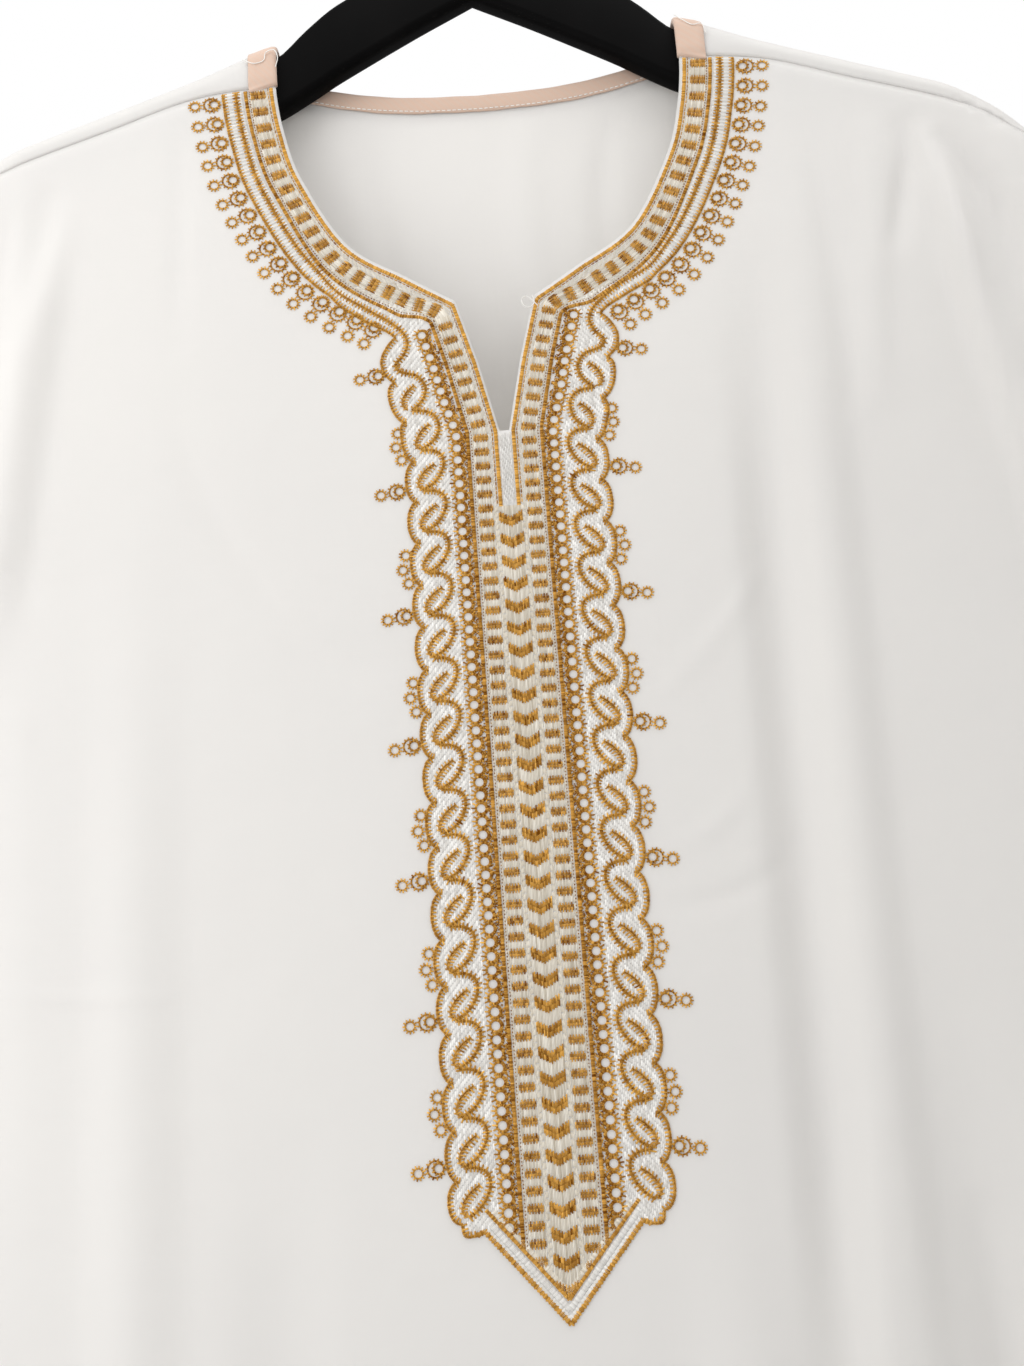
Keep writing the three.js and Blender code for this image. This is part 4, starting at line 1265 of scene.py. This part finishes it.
def ring_column(side):
    """The column of rings beside the scrolls, with its speckled ground."""
    gold = []
    count = 36
    way = all_round(count, math.pi / count)
    long = third(count) > 0
    far = np.minimum(3.0 / np.maximum(np.abs(way[:, 1]), 0.01), 4.3)
    far = np.where(way[:, 0] > 0.15, np.where(long, far + 0.2, 2.9), np.minimum(far, 3.4))
    for drop in np.arange(side["ring"], POINT_CORNER_DROP - 1, -RING_PITCH):
        x = 22.4 + float(spread(drop)) + 1.1 * float(ease(-215, -190, drop))
        centre = np.array([x, drop])
        gold.append(stitches(centre + way * 1.8, centre + way * far[:, None],
                             0.5 + 0.2 * long, 0.62, np.where(way[:, 0] < 0, 0.25, 0.45), 0.2))
        speck = RNG.uniform((-4.6, -2.9), (-2.2, 2.9), (26, 2)) + centre
        turn = RNG.uniform(-0.6, 0.6, (26, 2))
        gold.append(stitches(speck - turn, speck + turn, 0.55, 0.68, 0.3, 0.34))
    return gold


def scrolls(side):
    """Scallop line, rope and leaves of one side."""
    edge = Line(scallop_edge(side))
    # The running stitches laid along the scallop line, the rope and the leaves take tones near 0:
    # dark lines in the painted shade colour along their middles.
    gold = [satin(edge, -0.6, 0.85, 0.56, teeth=(1.5, 0.0), height=0.75, tone=0.42),
            runs(edge, [0.2], 1.2, 0.1, 0.4, 0.84, 0.12)]
    rope = rope_line(side)
    gold.append(satin(rope, -0.8, 0.8, 0.56, teeth=(1.4, 1.25), slant=0.3, height=0.85, tone=0.4))
    gold.append(runs(rope, [0.0], 1.2, 0.1, 0.4, 0.95, 0.12))
    for top in cusps(side):
        shift = 1.5 if top == side["cusp"] else 0.0
        chart = [(SCALLOP_CUSP_HALF + shift - a, top - b) for a, b in LEAF]
        leaf = Line(smooth(opened(chart), 0.3))
        t = leaf.every(0.58)
        swell = 0.55 + 0.45 * np.sin(np.pi * np.clip(t / leaf.length, 0, 1) ** 0.7)
        long = third(len(t))
        for sign, reach, tooth in ((-1, 1.2, 1.8), (1, 0.6, 1.2)):
            far = sign * (reach + tooth * long) * swell
            gold.append(stitches(leaf.at(t, -sign * 0.15), leaf.at(t - 0.6, far),
                                 0.52 + 0.2 * long, 0.8, 0.45 + 0.12 * long))
        gold.append(runs(leaf, [0.0], 0.9, 0.15, 0.45, 0.95, 0.05)[:8])
    return gold


def picots(side):
    """Rings outside the scallops: pairs that point outwards and stacks of three."""
    gold = []
    for k in range(SCALLOPS):
        middle = side["cusp"] + side["pitch"] * (0.5 - k)
        if k % 3 == 0:
            centre = opened([(SCALLOP_BULGE_HALF + 3.4, middle - (4.0 if k else 5.6))])[0]
            gold.append(double_ring(centre, (1, -0.16)))
        if k % 3 == 2:
            for down, out in ((-4.6, 2.3), (2.2, 3.9), (8.6, 1.6)):
                centre = opened([(SCALLOP_BULGE_HALF + out, middle - down)])[0]
                gold.append(ring(centre, 1.6, 2.4, 3.3, 36, 0.65))
    return gold


def ground(side):
    """White filling under the scrolls, in staggered rows."""
    edge = scallop_edge(side)
    edge = edge[edge[:, 0] < 78]
    levels = np.arange(-562, edge[0, 1] - 6, 2.0)
    inner = spread(levels) + 19.0 + 7.2 * ease(side["ring"] + 6, side["ring"], levels)
    area = np.vstack([edge - np.array([(1.0, 0)]), places(inner, levels)])
    rows = []
    for k, across in enumerate(np.arange(24, 78, 0.85)):
        drop = np.arange(edge[0, 1] - (k % 3) * 1.0, -566, -3.0)
        low, high = places(across, drop), places(across, drop - 2.75)
        both = inside_of(area, low) & inside_of(area, high)
        rows.append(stitches(low[both], high[both], 0.8, 0.32, 0.5, 0.3))
    return rows


def chevrons():
    """Gold chevrons down the centre, with cream stitches between them."""
    gold, cream = [], []
    across = np.arange(-5.1, 5.11, 0.6)
    for top in np.arange(FIRST_CHEVRON, POINT_DROP + 10, -CHEVRON_PITCH):
        tip = top - 2.9 * (1 - np.abs(across) / 5.4)
        ragged = RNG.uniform(-0.2, 0.2, (2, len(across)))
        long = (np.arange(len(across)) % 2) * 0.8
        for start, end in ((tip - 2.2, tip + 0.2 + long + ragged[0]),
                           (tip - 1.4, tip - 4.0 - long + ragged[1])):
            gold.append(stitches(places(across, start), places(across, end), 0.58, 0.75, 0.45, 0.22))
        between = [(tip - 3.6, tip - CHEVRON_PITCH + 0.1)]
        if top == FIRST_CHEVRON:
            between.insert(0, (top + 3.4, tip))
        for start, end in between:
            cream.append(stitches(places(across, start), places(across, end), 0.5, 0.5, 0.5, 0.25))
    for x in (-6.9, -6.3, -5.7, 5.7, 6.3, 6.9):
        cream.append(runs(Line([(x, TONGUE_END_DROP), (x, POINT_DROP + 6)]), [0.0], tone=0.4))
    return gold, cream


def point_end():
    """The pointed end: an outer and an inner gold line with white satin between them."""
    gold, white, cream = [], [], []
    for sign in (-1, 1):
        outer = Line(np.array([POINT_START, (POINT_CORNER_HALF, POINT_CORNER_DROP),
                               (0, POINT_DROP)]) * (sign, 1))
        gold.append(satin(outer, -1.0, 1.0, teeth=(0.3, 0.3), height=0.8))
        x = np.array([31.5, 0.0])
        for inset in (1.0, 3.6):
            white.append(satin(inside_point(x, inset, sign), -1.3, 1.3, 0.6, (0.2, 0.2),
                               height=0.5))
        gold.append(satin(inside_point(x, 6.1, sign), -0.85, 0.85, height=0.75))
        cream.append(satin(inside_point(x * 0.9, 8.0, sign), -1.1, 1.1, 0.6, (0.2, 0.2),
                           height=0.45))
    return gold, white, cream


def inside_point(x, inset, sign):
    """One side of a line inside the pointed end."""
    return Line(places(sign * x, point_line(x, inset)))


def sew(name, rows, frame_of, material):
    """Turns stitches into small raised strips on the cloth, each with its tone."""
    rows = np.vstack(rows)
    middle = (rows[:, 0:2] + rows[:, 2:4]) / 2
    place, across, up, out = frame_of(middle[:, 0], middle[:, 1])
    along = rows[:, 2:4] - rows[:, 0:2]
    length = np.maximum(np.linalg.norm(along, axis=1), 0.05)
    beside = np.column_stack([-along[:, 1], along[:, 0]]) / length[:, None]
    # Ends on the cloth, and two sections of three points between them: how far along the
    # stitch, how far beside its middle and how high, as shares of its sizes.
    parts = [(0.0, 0.0, 0.02), (0.1, 0.5, 0.35), (0.1, 0.0, 1.0), (0.1, -0.5, 0.35),
             (0.9, 0.5, 0.35), (0.9, 0.0, 1.0), (0.9, -0.5, 0.35), (1.0, 0.0, 0.02)]
    corners = np.empty((len(rows), 8, 3))
    for k, (share, wide, high) in enumerate(parts):
        flat = rows[:, 0:2] + along * share + beside * (wide * rows[:, 4])[:, None] - middle
        corners[:, k] = (place + across * flat[:, :1] + up * flat[:, 1:]
                         + out * (high * rows[:, 5])[:, None])
    pattern = np.array([(0, 1, 2), (0, 2, 3), (1, 4, 5), (1, 5, 2), (2, 5, 6), (2, 6, 3),
                        (4, 7, 5), (5, 7, 6)])
    faces = (np.arange(len(rows))[:, None, None] * 8 + pattern).reshape(-1, 3)
    tone = np.repeat(rows[:, 6], 8)
    return add_piece(name, corners.reshape(-1, 3), faces[:, ::-1], material, tone)


class ThobeThread(bpy.types.PropertyGroup):
    """Colours of the embroidery threads. Each stitch's tone mixes its thread's dark colour, which is
    painted shade like the shade in the gaps between stitches, with the light one, which is a painted
    highlight.
    """
    gold_highlight: colour_setting("Gold, light", "Lightest gold thread", "#F3BE61")
    gold_shade: colour_setting("Gold, dark", "Darkest gold thread", "#784404")
    cream_highlight: colour_setting("Cream, light", "Lightest cream thread", "#F2ECE0")
    cream_shade: colour_setting("Cream, dark", "Darkest cream thread", "#C2B7A4")


def gold_thread():
    look = bpy.context.scene.thobe_thread
    return embroidery_thread("gold viscose embroidery thread", opaque(look.gold_highlight),
                             opaque(look.gold_shade), 0.42)


def cream_thread():
    look = bpy.context.scene.thobe_thread
    return embroidery_thread("cream viscose embroidery thread", opaque(look.cream_highlight),
                             opaque(look.cream_shade), 0.5)


def white_thread():
    # The dark colour is painted shade for the gaps between the white stitches; each stitch's tone
    # sets how much of it that stitch takes.
    return embroidery_thread("white polyester embroidery thread", from_hex("#F0EEEA"),
                             from_hex("#C9C5BF"), 0.55)


class THOBE_OT_embroidery(bpy.types.Operator):
    """Sews the gold, cream and white embroidery of the neck and placket"""
    bl_idname = "thobe.embroidery"
    bl_label = "Embroidery"

    def execute(self, context):
        bands, scrolled, rings, cream, white = [], [], [], [], []
        for sign, side in SIDES.items():
            gold, between = placket_bands(side)
            bands += turned(gold, sign, GOLD_INSET)
            cream += turned(between, sign, CREAM_INSET)
            gold, white_rows = neck_bands()
            rings += turned(gold, sign)
            white += turned(white_rows, sign)
            rings += turned(ring_column(side), sign, RING_INSET)
            scrolled += turned(scrolls(side), sign)
            rings += turned(picots(side), sign)
            white += turned(ground(side), sign)
        gold, between = chevrons()
        bands += turned(gold, 1, GOLD_INSET)
        cream += turned(between, 1, CREAM_INSET)
        gold, white_rows, between = point_end()
        scrolled += gold
        white += white_rows
        cream += between
        tongue = Line([(0, SLIT_END_DROP - 1), (0, TONGUE_END_DROP)])
        white.append(runs(tongue, [-2.2, -1.5, -0.75, 0, 0.75, 1.5, 2.2], 3.2, 0.2, 0.6, 0.55))
        gold = gold_thread()
        first = sew("gold_bands", bands, front_frame, gold)
        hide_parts("front_embroidery")
        sew("gold_scrolls", scrolled, front_frame, gold)
        sew("gold_rings", rings, front_frame, gold)
        sew("cream_stitches", cream, front_frame, cream_thread())
        sew("white_stitches", white, front_frame, white_thread())
        return {"FINISHED"}


def turned(parts, sign, inset=None):
    """Rows of stitches on their side, cut off at a line inside the pointed end."""
    parts = [mirrored(rows, sign) for rows in parts]
    return parts if inset is None else [within_point(rows, inset) for rows in parts]


# ---- Sewing and loose threads ----

THREAD_RADIUS = 0.24
TAPE_STITCHES_IN = 6.9    # how far in from the neck edge
TAPE_INSIDE = 2.72        # how far the tape's inner face lies behind the cloth's outer one
HEM_DEPTH = 22
HEM_HALF = 294

# Loose thread ends on the tape's two ends: across, along the cloth from the ridge, and how far
# above it; then the small loop beside the slit: across, drop and how far above the cloth.
LOOSE_ENDS = {
    "loose_end_left": [(-115, -11, 1.3), (-110, -16, 1.6), (-105, -16.5, 1.7), (-103.6, -13, 2.1),
                       (-99.6, -13, 2.4), (-98, -17, 1.9), (-99.2, -22, 1.5)],
    "loose_end_right": [(99.4, -8, 2.2), (102.6, -11, 1.8), (107.3, -13, 1.5), (112, -11.5, 1.9),
                        (113.8, -16, 1.3)],
}
LOOSE_LOOP = [(20.2, -150.5, 1.1), (17.4, -147.4, 1.5), (14.6, -145.6, 2.1), (12.6, -147.8, 2.6),
              (13.8, -150.9, 2.4), (16.6, -151.2, 1.7), (18.6, -148.6, 1.4), (17.8, -145, 1.2)]


def thread_tube(name, at, frame_of, material):
    """A loose thread above the cloth along places in mm."""
    x, y, lift = np.array(at, float).T
    place, _, _, out = frame_of(x, y)
    line = smooth(place + out * lift[:, None], 0.6)
    along = unit(np.gradient(line, axis=0))
    beside = unit(np.cross(along, (0.31, 0.2, 0.93)))
    other = np.cross(along, beside)
    angle = np.arange(6) * math.pi / 3
    rings = [p + THREAD_RADIUS * (np.cos(angle)[:, None] * b + np.sin(angle)[:, None] * o)
             for p, b, o in zip(line, beside, other)]
    return loft(name, rings, material)


class THOBE_OT_sewing(bpy.types.Operator):
    """Adds the seams' stitches and the loose thread ends at the neck"""
    bl_idname = "thobe.sewing"
    bl_label = "Sewing"

    def execute(self, context):
        thread = sewing_thread()
        line, inwards = tape_line()
        inner = Line(line + inwards * TAPE_STITCHES_IN)
        t = np.arange(1.0, inner.length - 2, 2.7)
        rows = stitches(inner.at(t), inner.at(t + 2.0), 0.5, 0.35, 0.5)
        sew("tape_stitches", [rows], inside_frame, thread)
        hem = Line([(-HEM_HALF, HEM_DROP + HEM_DEPTH), (HEM_HALF, HEM_DROP + HEM_DEPTH)])
        t = np.arange(1.0, hem.length - 3, 3.1)
        rows = stitches(hem.at(t), hem.at(t + 2.5), 0.45, 0.3, 0.5)
        sew("front_hem_stitches", [rows], front_frame, thread)
        sew("back_hem_stitches", [rows], back_frame, thread)
        for name, at in LOOSE_ENDS.items():
            thread_tube(name, at, shoulder_frame, thread)
        thread_tube("loose_loop", LOOSE_LOOP, front_frame, thread)
        return {"FINISHED"}


def back_frame(x, drop):
    """The frame on the back piece at a drop."""
    return shoulder_frame(x, along_back(x, drop))


def inside_frame(x, v):
    """The frame on the tape's face within the neck, which looks into the robe."""
    place, across, down, out = shoulder_frame(x, v)
    return place - out * TAPE_INSIDE, across, down, -out


# ---- Stage, light and camera ----

# The floor in metres, just below the hem. The camera: place in mm, how many degrees it looks up
# and leans to the side, and its lens and sensor width in mm.
FLOOR_HALF = 6.0
FLOOR_HEIGHT = -1.62
CAMERA_PLACE = (-5.0, -716.7, -623.4)
CAMERA_PITCH = 13.0
CAMERA_ROLL = 4.2
LENS = 42.3
SENSOR = 36


def white_floor():
    """A large pale floor."""
    mesh = bpy.data.meshes.new("floor")
    corners = [(x * FLOOR_HALF, y * FLOOR_HALF, 0) for x, y in ((-1, -1), (1, -1), (1, 1), (-1, 1))]
    mesh.from_pydata(corners, [], [(0, 1, 2, 3)])
    material, tree, _ = new_material("white painted floor")
    mesh.materials.append(finished(material, tree, surface_of(tree, from_hex("#F4F4F4"), 0.8, {})))
    floor = add_object("floor", mesh)
    floor.location.z = FLOOR_HEIGHT


def white_room(scene, strength):
    """A white world that lights from all sides and is plain white behind the robe."""
    world = bpy.data.worlds.new("white room")
    scene.world = world
    world.use_nodes = True
    tree = world.node_tree
    tree.nodes.clear()
    seen = add_node(tree, "ShaderNodeLightPath")
    room, white = [add_node(tree, "ShaderNodeBackground", {
        "Color": (1, 1, 1, 1), "Strength": value}) for value in (strength, 1.0)]
    both = add_node(tree, "ShaderNodeMixShader", {
        0: seen.outputs["Is Camera Ray"], 1: room.outputs[0], 2: white.outputs[0]})
    add_node(tree, "ShaderNodeOutputWorld", {"Surface": both.outputs[0]})


def soft_light(name, watts, size, place, target):
    """A large soft lamp at a place in metres, turned to its target."""
    light = bpy.data.lights.new(name, "AREA")
    light.energy = watts
    light.shape = "RECTANGLE"
    light.size, light.size_y = size
    lamp = add_object(name, light)
    lamp.location = place
    aim = Vector(target) - Vector(place)
    lamp.rotation_euler = aim.to_track_quat("-Z", "Y").to_euler()


def tilted_camera():
    """The camera before the breast, looking a little up and leaning a little."""
    lens = bpy.data.cameras.new("camera")
    lens.lens = LENS
    lens.sensor_width = SENSOR
    camera = add_object("camera", lens)
    pitch = math.radians(CAMERA_PITCH)
    roll = math.radians(CAMERA_ROLL)
    right = Vector((1, 0, 0))
    up = Vector((0, -math.sin(pitch), math.cos(pitch)))
    forward = Vector((0, math.cos(pitch), math.sin(pitch)))
    turned_right = right * math.cos(roll) - up * math.sin(roll)
    turned_up = right * math.sin(roll) + up * math.cos(roll)
    placed = Matrix((turned_right, turned_up, -forward)).transposed().to_4x4()
    placed.translation = Vector(CAMERA_PLACE) * MM
    camera.matrix_world = placed
    return camera


class THOBE_OT_stage(bpy.types.Operator):
    """Sets the pale floor, the light and the camera"""
    bl_idname = "thobe.stage"
    bl_label = "Stage, light and camera"

    def execute(self, context):
        scene = context.scene
        stage = scene.thobe_stage
        white_floor()
        white_room(scene, stage.room_light)
        soft_light("window light", stage.key_watts, (0.4, 1.1), (-0.5, -0.38, -0.4),
                   (-0.05, 0.0, -0.45))
        soft_light("ceiling light", stage.ceiling_watts, (1.2, 0.6), (0.3, -0.4, 0.75),
                   (0.12, 0.0, -0.3))
        scene.camera = tilted_camera()
        scene.view_settings.view_transform = "Standard"
        scene.view_settings.look = "None"
        return {"FINISHED"}


class ThobeStage(bpy.types.PropertyGroup):
    """Light of the white room."""
    room_light: FloatProperty(
        name="Room light", description="Strength of the light from all sides", default=0.86,
        min=0, max=3)
    key_watts: FloatProperty(
        name="Window light (W)", description="Power of the soft light on the left",
        default=2.3, min=0, max=500)
    ceiling_watts: FloatProperty(
        name="Ceiling light (W)", description="Power of the soft light above", default=6.5,
        min=0, max=500)


# ---- Panel and registration ----

ORDER = ["stage", "front", "back", "sleeves", "binding", "hanger", "embroidery", "sewing"]


class THOBE_PT_panel(bpy.types.Panel):
    """Lists the steps that make the robe"""
    bl_label = "Thobe"
    bl_idname = "THOBE_PT_panel"
    bl_space_type = "VIEW_3D"
    bl_region_type = "UI"
    bl_category = "Thobe"

    def draw(self, context):
        for name in ORDER:
            self.layout.operator(f"thobe.{name}")
        for group in ("thobe_cloth", "thobe_thread", "thobe_stage"):
            settings = getattr(context.scene, group)
            box = self.layout.box()
            for key in settings.bl_rna.properties.keys():
                if key not in ("rna_type", "name"):
                    box.prop(settings, key)


GROUPS = {"thobe_cloth": ThobeCloth, "thobe_thread": ThobeThread, "thobe_stage": ThobeStage}
CLASSES = [THOBE_OT_front, THOBE_OT_back, THOBE_OT_sleeves, THOBE_OT_binding, THOBE_OT_hanger,
           THOBE_OT_embroidery, THOBE_OT_sewing, THOBE_OT_stage, THOBE_PT_panel]


def register():
    for name, group in GROUPS.items():
        bpy.utils.register_class(group)
        setattr(bpy.types.Scene, name, PointerProperty(type=group))
    for item in CLASSES:
        bpy.utils.register_class(item)


def unregister():
    for item in reversed(CLASSES):
        bpy.utils.unregister_class(item)
    for name, group in GROUPS.items():
        delattr(bpy.types.Scene, name)
        bpy.utils.unregister_class(group)


def main():
    register()
    for name in ORDER:
        getattr(bpy.ops.thobe, name)()


if __name__ == "__main__":
    main()
